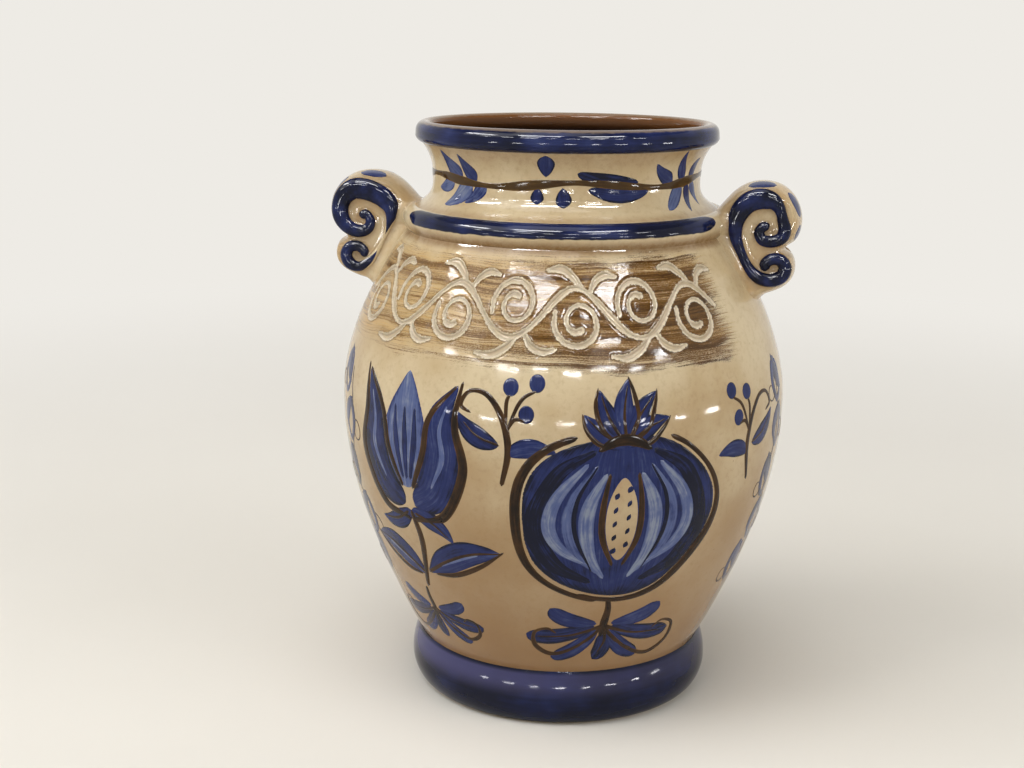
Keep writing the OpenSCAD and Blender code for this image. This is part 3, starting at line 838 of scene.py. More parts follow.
def neck_vine(cobalt, pale, brown):
    """A brown stem that waves round the neck, with clusters of leaves, pairs of leaves and drops."""
    count = 90
    for start in (-90, 90):
        points = []
        for i in range(count + 1):
            degrees = start + 182 * i / count
            wave = math.sin(math.radians(degrees * VINE_WAVES + 20))
            thick = 1.9 + 0.6 * math.sin(math.radians(degrees * VINE_WAVES * 2 + 150))
            points.append((math.radians(degrees - start) * NECK_R, 1.5 * wave, thick))
        brown.stroke((start, NECK_STEM_Z), points[::2], 0.5, layer=3)
    for back in (0, 180):
        cluster = [(cobalt, 140, 1.1, 3, 0.5, 0.0), (cobalt, 133, 0.9, 13, 0.5, 0.3), (pale, -142, 1.15, 9, -0.5, 0.3),
                   (pale, -136, 0.85, 18, -0.5, 0.6), (pale, -158, 0.9, -4, 0, 0.4)]
        for brush, angle, size, right, up, load in cluster:
            brush.stroke((back - 38, NECK_STEM_Z), moved(turned(WEDGE, angle, size), right - 3, up), load)
        for angle, size, right, up, load in ((88, 1.1, 0, 4.0, 0.45), (-92, 0.85, -4, -1.0, 0.6), (-84, 1.0, 8, -1.0, 0.5)):
            cobalt.stroke((back + 1, NECK_STEM_Z), moved(turned(DROP, angle, size), right, up), load)
        for angle, right, up, load in ((176, 12, 1.5, 0.75), (-178, 18, -3, 0.5)):
            cobalt.stroke((back + 29, NECK_STEM_Z), moved(turned(LONG_LEAF, angle, 1.12), right, up), load, layer=1)
        cluster = [(cobalt, 148, 0.9, -3, 0.5, 0.2), (cobalt, 106, 0.86, 6, 0.5, 0.3), (pale, -134, 1.0, 4, -0.5, 0.4),
                   (cobalt, -100, 0.76, 10, -1, 0.2), (pale, -58, 0.76, 14, -0.5, 0.5), (cobalt, 52, 0.76, 13, 0.5, 0.2)]
        for brush, angle, size, right, up, load in cluster:
            brush.stroke((back + 60, NECK_STEM_Z), moved(turned(WEDGE, angle, size), right, up), load)


# Carving: a running scroll of tendrils and leaves

def carved_lines():
    """Paths (arc at the carving's mean radius, height) with half widths, as arrays of points about 1 mm apart."""
    start, half_pitch, middle, swing = -112.0, 29.5, 217.5, 11.0
    crests = 7
    steps = crests * 6
    stem = []
    for i in range(steps + 1):
        s = half_pitch * crests * i / steps
        half = 0.85 + 0.3 * math.sin(i * 1.3)
        stem.append((start + s, middle + swing * math.sin(math.pi * s / half_pitch), half))
    lines = [stem]
    for k in range(crests):
        side = 1 if k % 2 == 0 else -1
        crest = start + half_pitch * (k + 0.5)
        volute = []
        for i in range(18):
            turn = math.radians(158 + 29 * i)
            r = 12.0 * (1 - 0.04 * i)
            half = 0.4 + 0.5 * math.sin(math.pi * min(i / 8, 1)) + (0.5 if i > 14 else 0.0)
            volute.append((crest + 1.0 + r * 0.94 * math.cos(turn), middle - side * (3.6 - r * math.sin(turn)), half))
        lines.append(volute)
        top = middle + side * swing
        leaves = [[(3, 0.2, 0.4), (-1, 4.6, 1.2), (-7, 8.2, 1.35), (-14, 7.6, 0.3)],
                  [(7, -1.6, 0.4), (10, 3.2, 1.1), (15, 5.6, 1.15), (20.5, 4.6, 0.3)]]
        for leaf in leaves:
            lines.append([(crest + a, top + side * b, half) for a, b, half in leaf])
    return [through(line, 0.8) for line in lines]


CARVED_MEAN_R = 97.0


def carve(angles, heights):
    """How deep inside a carved line each grid point lies, in millimetres, and how the surface moves there."""
    arc_at = angles[:, None] * CARVED_MEAN_R + 0 * heights[None, :]
    height_at = heights[None, :] + 0 * angles[:, None]
    inside = np.full(arc_at.shape, -9.0)
    for line in carved_lines():
        box = ((arc_at > line[:, 0].min() - 6) & (arc_at < line[:, 0].max() + 6)
               & (height_at > line[:, 1].min() - 6) & (height_at < line[:, 1].max() + 6))
        if not box.any():
            continue
        here = np.stack([arc_at[box], height_at[box]], -1)
        best = np.full(len(here), -9.0)
        for a, b in zip(line[:-1], line[1:]):
            step = (b - a)[:2]
            t = np.clip((here - a[:2]) @ step / max(step @ step, 1e-9), 0, 1)
            gap = np.linalg.norm(here - (a[:2] + t[:, None] * step), axis=1)
            best = np.maximum(best, a[2] + t * (b[2] - a[2]) - gap)
        inside[box] = np.maximum(inside[box], best)
    torn = 0.5 + 0.5 * np.sin(arc_at * 1.9 + 2.0 * np.sin(height_at * 1.1)) * np.sin(height_at * 2.3 + np.sin(arc_at))
    groove = -0.75 * np.clip((inside + 0.2) / 1.3, 0, 1) ** 0.7
    burr = (0.12 + 0.36 * torn) * np.exp(-((inside + 0.5) / 0.5) ** 2)
    return inside, groove + burr


def belly_columns():
    fine = np.arange(FRONT_FROM, FRONT_TO, FINE_STEP)
    coarse = np.arange(FRONT_TO, FRONT_FROM + 360, COARSE_STEP)
    return np.radians(np.concatenate([fine, coarse]))


def belly_rows():
    below = np.arange(FOOT_H + 0.6, CARVED_FROM, 2.2)
    carved = np.arange(CARVED_FROM, CARVED_TO, 0.6)
    return np.concatenate([[FOOT_H - 5.0, FOOT_H - 0.2], below, carved, [243.2, 244.2, SHOULDER_Z + 0.4]])


def make_belly():
    """One wall from the foot ring to the shoulder, with the carving cut into its front."""
    angles, heights = belly_columns(), belly_rows()
    inside, shift = carve(np.where(angles > math.pi, angles - 2 * math.pi, angles), heights)
    outer = on_belly(angles[:, None], heights[None, :] + 0 * angles[:, None], shift)
    inner_z = np.linspace(SHOULDER_Z, FOOT_H - 5.0, 14)
    inner = on_belly(angles[:, None], inner_z[None, :] + 0 * angles[:, None], -WALL)
    points = np.concatenate([outer, inner], 1)
    rows = points.shape[1]
    made = new_object("belly_wall", points.reshape(-1, 3), ring_faces(len(angles), rows))
    depth = np.full(points.shape[:2], -9.0, np.float32)
    depth[:, :len(heights)] = inside
    made.data.attributes.new("carved", "FLOAT", "POINT").data.foreach_set("value", depth.ravel())
    return finish_piece(made, belly_glaze(), "cream_glaze", "lower_belly", "upper_belly", sharp=50)


def make_turned_pieces():
    under = [(FOOT_REST_R + (FOOT_R - FOOT_REST_R) * math.sin(t) ** 0.9, FOOT_EDGE_Z * (1 - math.cos(t) ** 1.15))
             for t in np.radians(np.arange(4, 90, 6))]
    rise = [(FOOT_R - (FOOT_R - FOOT_TOP_R - 0.3) * u ** 2.2, FOOT_EDGE_Z + (FOOT_H - FOOT_EDGE_Z) * u)
            for u in np.linspace(0, 1, 12)]
    foot = [(FOOT_REST_IN_R, 0.0), (FOOT_REST_R - 0.4, 0.0)] + under + rise
    foot += [(FOOT_TOP_R - 1.0, FOOT_H + 0.1), (FOOT_TOP_R - 1.6, FOOT_H - 1.5), (FOOT_TOP_R - 1.6, FOOT_REST_H),
             (FOOT_REST_IN_R, FOOT_REST_H)]
    finish_piece(lathe("foot_moulding", foot), foot_glaze(), "cobalt_glaze", "foot_ring", sharp=45)

    bead = [(NECK_BASE_R - 2, SHOULDER_Z - 0.6), (SHOULDER_R - 0.6, SHOULDER_Z - 0.9), (SHOULDER_R + 0.5, SHOULDER_Z - 0.2)]
    bead += [(SHOULDER_R + 1.5, SHOULDER_Z + 1.8), (SHOULDER_R + 2.2, SHOULDER_Z + 4)]
    bead += arc((BEAD_R - 6, SHOULDER_Z + 6), 6, -8, 88, 12) + [(NECK_BASE_R - 2, BEAD_TOP_Z - 0.2)]
    finish_piece(lathe("bead", bead), bead_glaze(), "cobalt_glaze", "shoulder_bead", sharp=50)

    heights = np.linspace(BEAD_TOP_Z - 0.3, RIM_Z + 0.8, 34)
    neck = list(zip(neck_radius(heights), heights))
    neck += [(r - WALL, z) for r, z in reversed(neck[::3])]
    # Painted shade together with pooled glaze: the neck darkens just above the bead and up under the rim.
    pooled_shade_corners = [(BEAD_TOP_Z + 3.5, BEAD_TOP_Z + 0.2, 0.5), (RIM_Z - 13.0, RIM_Z - 0.2, 0.55)]
    finish_piece(lathe("neck", neck), glazed_stoneware("neck_glaze", pooled_shade_corners), "cream_glaze", "neck_collar", sharp=50)

    rim = [(MOUTH_R, RIM_Z - 0.2), (NECK_TOP_R - 1, RIM_Z - 0.3)]
    rim += arc((RIM_R - 4.4, RIM_Z + 4.6), 4.6, -78, -14, 8)
    rim += arc((RIM_R - 5.0, POT_H - 4.8), 4.8, 6, 86, 9)
    rim += arc((MOUTH_R + 3.0, POT_H - 3.1), 3.0, 92, 176, 8)
    finish_piece(lathe("rim", rim), rim_glaze(), "cobalt_glaze", "rim_band", sharp=50)


def make_inside():
    """The glazed skin of the inside, and the slab that closes the bottom."""
    skin, hidden = 0.5, 0.3
    lower = np.linspace(SLAB_TOP_Z + 4, SHOULDER_Z, 60)
    belly = [(belly_radius(z) if z > FOOT_H else FOOT_TOP_R, z) for z in lower]
    cove = [(FOOT_TOP_R - 4 * (1 - math.sin(t)), SLAB_TOP_Z + 4 * (1 - math.cos(t))) for t in np.radians((20, 45, 70))]
    throat = [(NECK_BASE_R, z) for z in (SHOULDER_Z + 4, BEAD_TOP_Z - 3)]
    upper = [(float(neck_radius(z)), z) for z in np.linspace(BEAD_TOP_Z, RIM_Z, 18)]
    outline = cove + belly + throat + upper
    top_in = [(float(r) - WALL - skin, z) for r, z in outline]
    top_out = [(float(r) - WALL + hidden, z) for r, z in reversed(outline)]
    loop = [(2.0, SLAB_TOP_Z + skin)] + [(r, SLAB_TOP_Z + skin) for r in (20, 40, 58, 64)] + top_in
    loop += top_out + [(60.0, SLAB_TOP_Z - hidden), (2.0, SLAB_TOP_Z - hidden)]
    finish_piece(lathe("liner", loop[::-1], 192), liner_glaze(), "liner_glaze", sharp=60)

    slab = [(1.0, FOOT_REST_H)] + [(r, FOOT_REST_H - 0.25 * math.sin(r / 2.6) ** 2) for r in np.arange(4, 66, 1.3)]
    slab += [(SLAB_R, FOOT_REST_H), (SLAB_R, SLAB_TOP_Z - 0.4), (1.0, SLAB_TOP_Z - 0.4)]
    shade = Shade("bare_clay")
    vector = shade.place()[0]
    colour = shade.mix(shade.ease(shade.noise(vector, 0.1, 4.0), 0.35, 0.7), BARE_CLAY, TAN)
    shade.set(Base_Color=colour, Roughness=0.75)
    shade.set(Normal=shade.bump(shade.noise(vector, 1.4, 3.0), 0.1, 0.7))
    finish_piece(lathe("floor_slab", slab, 160), shade.material, "cream_glaze", "base_slab", sharp=50)


# Lugs

LUG_OUTLINE = [
    (72.5, 254.5), (78, 257.2), (82.5, 262.2), (87.5, 267.4), (94, 271.2), (101.5, 272.4), (109, 271.2), (115.2, 267.2),
    (119.4, 261.2),
    (121.2, 254.5), (120.8, 248), (118.2, 242.6), (113.0, 238.6), (117.4, 235.2), (119.0, 229.6), (117.8, 223.8),
    (113.8, 219.2), (107.8, 216.2), (102.5, 214.6), (98.5, 213.8)]
LUG_ROOT = [(90, 217), (83, 228), (76.5, 239), (71.5, 248)]   # inside the wall, where it can't be seen
LUG_SWELL = 3.1
LUG_EDGE = 1.6
RIGHT_SCROLL = [
    (104.8, 249.2, 2.3), (102.5, 250.8, 2.0), (100.4, 247.6, 2.0), (102.6, 244, 2.3), (107.4, 243.5, 2.4),
    (111.7, 245.6, 2.6), (112.9, 249.8, 2.6), (111.8, 254.2, 2.2), (110.6, 258.4, 2.1), (108.4, 262, 3.0),
    (105.2, 264, 4.1), (100.5, 264.6, 4.6), (95, 262.8, 4.6), (90.8, 258.4, 4.3), (88.6, 252.2, 3.5), (88.8, 246, 2.6),
    (90.1, 241.6, 2.1), (92.2, 236.9, 1.7), (94.7, 231.8, 1.9), (98.2, 227.2, 2.3), (102.6, 224.5, 2.7),
    (108, 224, 2.8), (112.6, 226.3, 2.8), (114, 230.6, 2.7), (111.6, 234.2, 2.5), (107.2, 234.6, 2.4),
    (104, 231.8, 2.2), (106.4, 229.8, 2.3)]
LEFT_SCROLL = [
    (106, 248.2, 2.0), (103.6, 250.6, 1.7), (101.0, 247.6, 1.9), (101.6, 243.8, 2.2), (104.8, 241.6, 2.5),
    (109.6, 241.8, 2.9), (114, 244.4, 3.3), (116.8, 249, 3.8), (117, 254.6, 4.0), (114.6, 259.8, 4.4),
    (109.8, 263.2, 4.8), (104, 263.4, 5.0), (98.4, 261.8, 4.9), (93.2, 258.8, 4.6), (90, 254.8, 3.9), (89.6, 250, 2.3),
    (90.9, 245, 1.1), (92.8, 240, 0.35), (95.4, 234.6, 0.35), (98.4, 229.4, 1.0), (102.2, 225.4, 1.7), (107.4, 222.6, 2.0),
    (112.2, 224.2, 2.6), (114.2, 228.6, 2.6), (112.2, 232.6, 2.4), (107.8, 233.4, 2.2), (104.4, 230.8, 2.0),
    (106.6, 229, 2.1)]


def closed_through(points, step):
    """A smooth closed curve through the points, about step apart."""
    points = np.asarray(points, float)
    around = np.vstack([points[-1:], points, points[:2]])
    line = through(around, step)
    start = np.argmin(np.linalg.norm(line - points[0], axis=1))
    end = np.argmin(np.linalg.norm(line[start + 5:] - points[0], axis=1)) + start + 5
    return line[start:end]


def roll_mesh(path, height_share, widen=0.0, sunk=0.5, sides=12):
    """A half-round roll along a path of (x, z, half width), lying on y = 0 and standing out towards -Y."""
    line = through(path, 0.8)
    centre, half = line[:, :2], line[:, 2] + widen
    ahead = np.gradient(centre, axis=0)
    ahead /= np.linalg.norm(ahead, axis=1, keepdims=True)
    aside = np.stack([ahead[:, 1], -ahead[:, 0]], -1)
    run = np.concatenate([[0], np.cumsum(np.linalg.norm(np.diff(centre, axis=0), axis=1))])
    for distance in (run, run[-1] - run):
        near = np.clip(distance / (half * 0.9), 0, 1)
        half = half * np.maximum(np.sqrt(1 - (1 - near) ** 2), 0.15)
    turn = np.linspace(0, np.pi, sides + 1)
    height = np.minimum(half * height_share, 3.3)
    points = np.zeros((len(line), sides + 3, 3))
    points[:, :sides + 1, 0] = centre[:, 0:1] + aside[:, 0:1] * half[:, None] * np.cos(turn)
    points[:, :sides + 1, 2] = centre[:, 1:2] + aside[:, 1:2] * half[:, None] * np.cos(turn)
    points[:, :sides + 1, 1] = -height[:, None] * np.sin(turn) ** 0.85
    for k, sign in ((sides + 1, -1), (sides + 2, 1)):
        points[:, k, 0] = centre[:, 0] + sign * aside[:, 0] * half * 0.9
        points[:, k, 2] = centre[:, 1] + sign * aside[:, 1] * half * 0.9
        points[:, k, 1] = sunk
    rings, width = points.shape[:2]
    faces = [[i * width + j, i * width + (j + 1) % width, (i + 1) * width + (j + 1) % width, (i + 1) * width + j]
             for i in range(rings - 1) for j in range(width)]
    faces.append(list(range(width - 1, -1, -1)))
    faces.append([(rings - 1) * width + j for j in range(width)])
    return points.reshape(-1, 3), faces, run


def outward_normals(loop):
    ahead = np.roll(loop, -1, axis=0) - np.roll(loop, 1, axis=0)
    ahead /= np.linalg.norm(ahead, axis=1, keepdims=True)
    normal = np.stack([ahead[:, 1], -ahead[:, 0]], -1)
    middle = loop.mean(0)
    if ((loop - middle) * normal).sum() < 0:
        normal = -normal
    return normal


def pot_radius(z):
    """Outer radius of belly, bead and neck together."""
    z = np.asarray(z, float)
    bead = BEAD_R - 6 + np.sqrt(np.maximum(36 - (z - SHOULDER_Z - 6) ** 2, 0))
    out = np.where(z <= SHOULDER_Z, belly_radius(z), np.where(z < BEAD_TOP_Z, bead, neck_radius(z)))
    return out


def lug_core(scroll, stretch):
    """The lug's clay before it is smoothed: a swelling slab, and a low welt under each scroll."""
    outline = [(79 + (x - 79) * stretch, z) for x, z in LUG_OUTLINE] + LUG_ROOT
    loop = closed_through(outline, 1.0)
    normal = outward_normals(loop)
    depth = LUG_DEPTH + 0.3
    levels = np.concatenate([[-1, -0.985, -0.955, -0.91], np.linspace(-0.82, 0.82, 15), [0.91, 0.955, 0.985, 1]])
    vertices, faces = [], []
    for level in levels:
        past = np.clip((abs(level) * depth - (depth - LUG_EDGE)) / LUG_EDGE, 0, 1)
        inset = LUG_SWELL * level ** 2 + LUG_EDGE * (1 - math.sqrt(1 - past ** 2))
        ring = loop - normal * inset
        vertices.append(np.stack([ring[:, 0], np.full(len(ring), level * depth), ring[:, 1]], -1))
    count = len(loop)
    for i in range(len(levels) - 1):
        faces += [[i * count + j, i * count + (j + 1) % count, (i + 1) * count + (j + 1) % count, (i + 1) * count + j]
                  for j in range(count)]
    faces.append(list(range(count))[::-1])
    faces.append([(len(levels) - 1) * count + j for j in range(count)])
    vertices = np.concatenate(vertices)
    for facing in (1, -1):
        points, roll_faces, _ = roll_mesh(scroll, 0.22, widen=1.2, sunk=2.0)
        points = points + np.array([0, -depth, 0])
        points[:, 1] *= facing
        faces += [[len(vertices) + i for i in face] for face in roll_faces]
        vertices = np.concatenate([vertices, points])
    return vertices, faces


def baked(made):
    """The object's mesh with its modifiers applied."""
    bpy.context.view_layer.update()
    mesh = bpy.data.meshes.new_from_object(made.evaluated_get(bpy.context.evaluated_depsgraph_get()))
    old = made.data
    made.modifiers.clear()
    made.data = mesh
    bpy.data.meshes.remove(old)
    return made


def vertex_arrays(mesh):
    """Places in millimetres and normals of a mesh's vertices."""
    count = len(mesh.vertices)
    places, normals = np.zeros(count * 3), np.zeros(count * 3)
    mesh.vertices.foreach_get("co", places)
    mesh.vertices.foreach_get("normal", normals)
    return places.reshape(-1, 3) / MM, normals.reshape(-1, 3)


FILLET = 6.5     # how far the clay of a lug is smeared over the pot
HIDDEN = 3.0     # how deep a lug's root may lie in the pot's wall


def flare_roots(made):
    """Spreads the clay where it meets the pot, as a thumb does when it lutes a lug on."""
    mesh = made.data
    places, normals = vertex_arrays(mesh)
    around = np.hypot(places[:, 0], places[:, 1])
    gap = around - pot_radius(places[:, 2])
    rest = FILLET - np.clip(gap, 0, FILLET)
    spread = FILLET - np.sqrt(FILLET ** 2 - rest ** 2)
    radial = np.stack([places[:, 0] / around, places[:, 1] / around, np.zeros(len(places))], -1)
    sideways = normals - radial * (normals * radial).sum(1, keepdims=True)
    sideways[:, 2] = np.minimum(sideways[:, 2], 0)
    places += sideways * spread[:, None]
    places += radial * np.maximum(-HIDDEN - gap, 0)[:, None]
    mesh.vertices.foreach_set("co", (places * MM).ravel())
    mesh.update()


def mark_pools_and_shade(made, side, scroll):
    """Notes where a lug darkens, as pooled glaze together with painted shade: beside its scrolls, in its cleft and at
    its root.
    """
    places, _ = vertex_arrays(made.data)
    line = through(scroll, 1.5)
    gap = np.full(len(places), 99.0)
    for x, z, half in line:
        gap = np.minimum(gap, np.hypot(places[:, 0] * side - x, places[:, 2] - z) - half)
    face = np.clip((np.abs(places[:, 1]) - LUG_DEPTH + 4.5) / 2.0, 0, 1)
    beside = np.exp(-np.maximum(gap - 0.6, 0) / 1.1) * face
    cleft = np.exp(-np.hypot(places[:, 0] * side - 115.5, places[:, 2] - 238.8) / 2.6)
    root = np.clip(1 - (np.hypot(places[:, 0], places[:, 1]) - pot_radius(places[:, 2])) / 4.0, 0, 1) ** 1.5
    # Pooled glaze together with painted shade in the lug's hollows.
    glaze_pool_and_shade = np.clip(0.66 * beside + 0.55 * cleft + 0.3 * root, 0, 1)
    made.data.attributes.new("glaze_pool_and_shade", "FLOAT", "POINT").data.foreach_set("value", glaze_pool_and_shade.astype(np.float32))


def make_lug(side, name, scroll, stretch, material):
    """side is 1 for the lug on +X and -1 for the one on -X."""
    vertices, faces = lug_core(scroll, stretch)
    vertices[:, 0] *= side
    made = new_object(name, vertices, faces)
    remesh = made.modifiers.new("clay", "REMESH")
    remesh.mode = "VOXEL"
    remesh.voxel_size = 0.75 * MM
    remesh.use_smooth_shade = True
    soften = made.modifiers.new("soften", "SMOOTH")
    soften.factor, soften.iterations = 0.5, 7
    baked(made)
    flare_roots(made)
    mark_pools_and_shade(made, side, scroll)
    return finish_piece(made, material, "cream_glaze", name.replace("clay_", ""))


def scroll_paint():
    """Cobalt glaze on a scroll, with bare stoneware where its paint attribute falls to 0."""
    shade = Shade("scroll_cobalt")
    vector = shade.place()[0]
    tone = shade.noise(vector, 0.1, 3.0, 0.55)
    colour = shade.mix(shade.ease(tone, 0.35, 0.75), COBALT_DARK, COBALT)
    colour = shade.mix(shade.ease(tone, 0.62, 0.85, 0.0, 0.3), colour, COBALT_THIN)
    worn = shade.math("ADD", shade.attribute("paint"), shade.math("MULTIPLY", shade.noise(vector, 0.6, 3.0), 0.5))
    colour = shade.mix(shade.ease(worn, 0.6, 0.8), stoneware(shade), colour)
    shade.set(Base_Color=colour)
    glaze_skin(shade, 0.05, sheen=COBALT_SHEEN)
    return shade.material


def make_scroll(side, facing, name, node, path, material, bare=None):
    """facing is 1 on the front of the pot and -1 on its back; bare gives the heights of an unpainted stretch."""
    points, faces, run = roll_mesh(path, 0.95, widen=0.7)
    rings = len(run)
    line_z = through(path, 0.8)[:, 1]
    paint = np.ones((rings, len(points) // rings))
    if bare:
        spine = (run > run[-1] * 0.45) & (run < run[-1] * 0.8)
        off = np.where(spine, np.maximum(bare[0] - line_z, line_z - bare[1]), 99.0)
        across = np.abs(np.cos(np.linspace(0, np.pi, paint.shape[1] - 2)))
        across = np.concatenate([across, [1.0, 1.0]])
        paint = np.clip((off[:, None] / 9.0 - across ** 1.5) * 3.0 + 0.6, 0, 1)
    points = points + np.array([0, -(LUG_DEPTH + 0.3), 0])
    points[:, 0] *= side
    points[:, 1] *= facing
    if side * facing < 0:
        faces = [face[::-1] for face in faces]
    made = new_object(name, points, faces)
    made.data.attributes.new("paint", "FLOAT", "POINT").data.foreach_set("value", paint.astype(np.float32).ravel())
    return finish_piece(made, material, "cobalt_glaze", node)


def recalculate(made):
    """Turns every face of a closed mesh outward."""
    work = bmesh.new()
    work.from_mesh(made.data)
    bmesh.ops.recalc_face_normals(work, faces=work.faces)
    work.to_mesh(made.data)
    work.free()


def lug_dashes(lug, side, cobalt):
    """Short strokes across the lug's outer band, laid on the finished clay."""
    tree = BVHTree.FromObject(lug, bpy.context.evaluated_depsgraph_get())
    centre_x, centre_z = 101.5, 251.0

    def on_lug(angle, y, proud):
        """angle is measured round the upper lobe; y is the depth."""
        out = np.zeros(angle.shape + (3,))
        proud = np.broadcast_to(proud, angle.shape)
        for index in np.ndindex(angle.shape):
            turn = float(angle[index])
            way = Vector((side * math.cos(turn), 0, math.sin(turn)))
            start = Vector((side * centre_x, float(y[index]), centre_z)) * MM + way * 0.06
            hit = tree.ray_cast(start, -way)[0]
            place = (hit if hit is not None else start) / MM
            out[index] = np.array(place) + np.array(way) * float(proud[index])
        return out

    brush = Brush(on_lug)
    brush.lay = lambda anchor, places, height: on_lug(
        math.radians(anchor[0]) + places[..., 0] / 20.0, anchor[1] + places[..., 1], height)
    for degrees, length, half in ((92, 14, 5.4), (33, 14.5, 5.0), (-12, 9, 4.6)):
        for y in (-8.3, 8.3):
            path = [(-length / 2, 0.6, half * 0.7), (0, 0, half), (length / 2, -0.6, half * 0.8)]
            brush.stroke((degrees, y), path, 0.2)
    return brush.piece(("right" if side > 0 else "left") + "_lug_dashes", cobalt, "cobalt_glaze")


def lug_clay():
    """Stoneware of a lug: the glaze breaks to gold over its edges, and browns beside the scrolls as pooled glaze
    together with painted shade.
    """
    shade = Shade("lug_glaze")
    vector = shade.place()[0]
    colour = stoneware(shade, shade.attribute("glaze_pool_and_shade"))
    gold = shade.math("MULTIPLY", shade.ease(shade.noise(vector, 0.07, 3.0), 0.4, 0.66), 0.5)
    shade.set(Base_Color=shade.mix(gold, colour, LUG_GOLD))
    glaze_skin(shade)
    return shade.material


def make_lugs(cobalt):
    clay = lug_clay()
    blue = scroll_paint()
    for side, word, path, stretch, bare in ((1, "right", RIGHT_SCROLL, 1.0, None),
                                            (-1, "left", LEFT_SCROLL, 1.09, (231.0, 240.5))):
        lug = make_lug(side, "clay_" + word + "_lug", path, stretch, clay)
        recalculate(lug)
        for facing, where in ((1, "front"), (-1, "rear")):
            node = word + "_" + where + "_scroll"
            scroll = make_scroll(side, facing, "blue_" + node, node, path, blue, bare if facing > 0 else None)
            recalculate(scroll)
        dashes = lug_dashes(lug, side, cobalt)
        recalculate(dashes)


def make_paintings():
    cobalt = brush_paint("cobalt_strokes", COBALT_DARK, COBALT, COBALT_THIN, 0.55)
    pale = brush_paint("pale_cobalt_strokes", COBALT, COBALT_THIN, COBALT_WASH, 0.9)
    brown = brush_paint("brown_strokes", OUTLINE_DARK, OUTLINE_BROWN, OUTLINE_THIN, 0.8, 0.22)
    stem_brown = brush_paint("stem_brown_strokes", OUTLINE_BROWN, STEM_BROWN, OUTLINE_THIN, 0.9, 0.22)
    ground = glazed_stoneware("window_glaze")

    cobalt_strokes, pale_strokes, brown_strokes, windows = (Brush(on_belly) for _ in range(4))
    pomegranate(cobalt_strokes, pale_strokes, brown_strokes, windows, (24, 122))
    spray(cobalt_strokes, brown_strokes, (23, 60), 1.0)
    berry_branch(cobalt_strokes, brown_strokes, (-5, 166), 1, 1.1)
    berry_branch(cobalt_strokes, brown_strokes, (62, 158), -1, 1.05)
    tulip(cobalt_strokes, pale_strokes, brown_strokes, (-32, 146), 1.12)
    stem = [(0, -30, 1.5), (3, -44, 2.0), (1, -58, 1.7), (-3, -74, 1.2)]
    brown_strokes.stroke((-32, 146), stem, 0.6, layer=4)
    broad_leaf(cobalt_strokes, pale_strokes, brown_strokes, (-32, 146), 2, -64, 22, 50)
    broad_leaf(cobalt_strokes, pale_strokes, brown_strokes, (-32, 146), 0, -66, 20, 40, -1)
    spray(cobalt_strokes, brown_strokes, (-35, 58), 0.78, -1)
    for angle, sway in ((-62, 1.2), (80, -1.5)):
        loop_chain(cobalt_strokes, brown_strokes, angle, sway)
    tulip(cobalt_strokes, pale_strokes, brown_strokes, (178, 154), 1.15)
    brown_strokes.stroke((178, 154), [(-a, b, half) for a, b, half in stem], 0.6, layer=4)
    broad_leaf(cobalt_strokes, pale_strokes, brown_strokes, (178, 154), -2, -64, 22, 50)
    broad_leaf(cobalt_strokes, pale_strokes, brown_strokes, (178, 154), 0, -66, 20, 42, -1)
    spray(cobalt_strokes, brown_strokes, (178, 60), 0.9)
    for angle, flip in ((143, 1), (214, -1)):
        berry_branch(cobalt_strokes, brown_strokes, (angle, 166), flip, 1.15)
        spray(cobalt_strokes, brown_strokes, (angle - 3 * flip, 112), 0.85, flip)
    made = [cobalt_strokes.piece("belly_cobalt", cobalt, "cobalt_glaze"),
            pale_strokes.piece("belly_pale_cobalt", pale, "cobalt_glaze"),
            brown_strokes.piece("belly_brown", brown, "brown_glaze"),
            windows.piece("belly_window", ground, "cream_glaze")]
    neck_cobalt, neck_pale, neck_brown = (Brush(on_neck) for _ in range(3))
    neck_vine(neck_cobalt, neck_pale, neck_brown)
    made.append(neck_cobalt.piece("neck_cobalt", cobalt, "cobalt_glaze"))
    made.append(neck_pale.piece("neck_pale_cobalt", pale, "cobalt_glaze"))
    made.append(neck_brown.piece("neck_brown", stem_brown, "brown_glaze"))
    for piece in made:
        recalculate(piece)
    return cobalt


# Camera, floor and light

CAMERA_DISTANCE = 807.4      # from the pot's axis, level
CAMERA_HEIGHT = 349.3
CAMERA_TURN = 9.0            # degrees from the front towards +X
CAMERA_YAW, CAMERA_PITCH, CAMERA_ROLL = -1.917, 13.150, 0.588
LENS_PX = 1552.2             # focal length in pixels of a frame 1024 wide
FRAME_PX = 1024
SENSOR = 36.0


def make_camera():
    yaw, pitch, roll = (math.radians(a) for a in (CAMERA_YAW, CAMERA_PITCH, CAMERA_ROLL))
    ahead = Vector((math.sin(yaw) * math.cos(pitch), math.cos(yaw) * math.cos(pitch), -math.sin(pitch)))
    right = Vector((math.cos(yaw), -math.sin(yaw), 0))
    up = right.cross(ahead)
    rolled_right = math.cos(roll) * right + math.sin(roll) * up
    rolled_up = -math.sin(roll) * right + math.cos(roll) * up
    turn = Matrix.Rotation(math.radians(CAMERA_TURN), 3, "Z")
    axes = [turn @ v for v in (rolled_right, rolled_up, -ahead)]
    data = bpy.data.cameras.new("camera")
    data.sensor_width = SENSOR
    data.lens = LENS_PX * SENSOR / FRAME_PX
    data.clip_start, data.clip_end = 0.01, 50
    camera = bpy.data.objects.new("camera", data)
    matrix = Matrix((axes[0], axes[1], axes[2])).transposed().to_4x4()
    matrix.translation = turn @ (Vector((0, -CAMERA_DISTANCE, CAMERA_HEIGHT)) * MM)
    camera.matrix_world = matrix
    bpy.context.scene.collection.objects.link(camera)
    bpy.context.scene.camera = camera


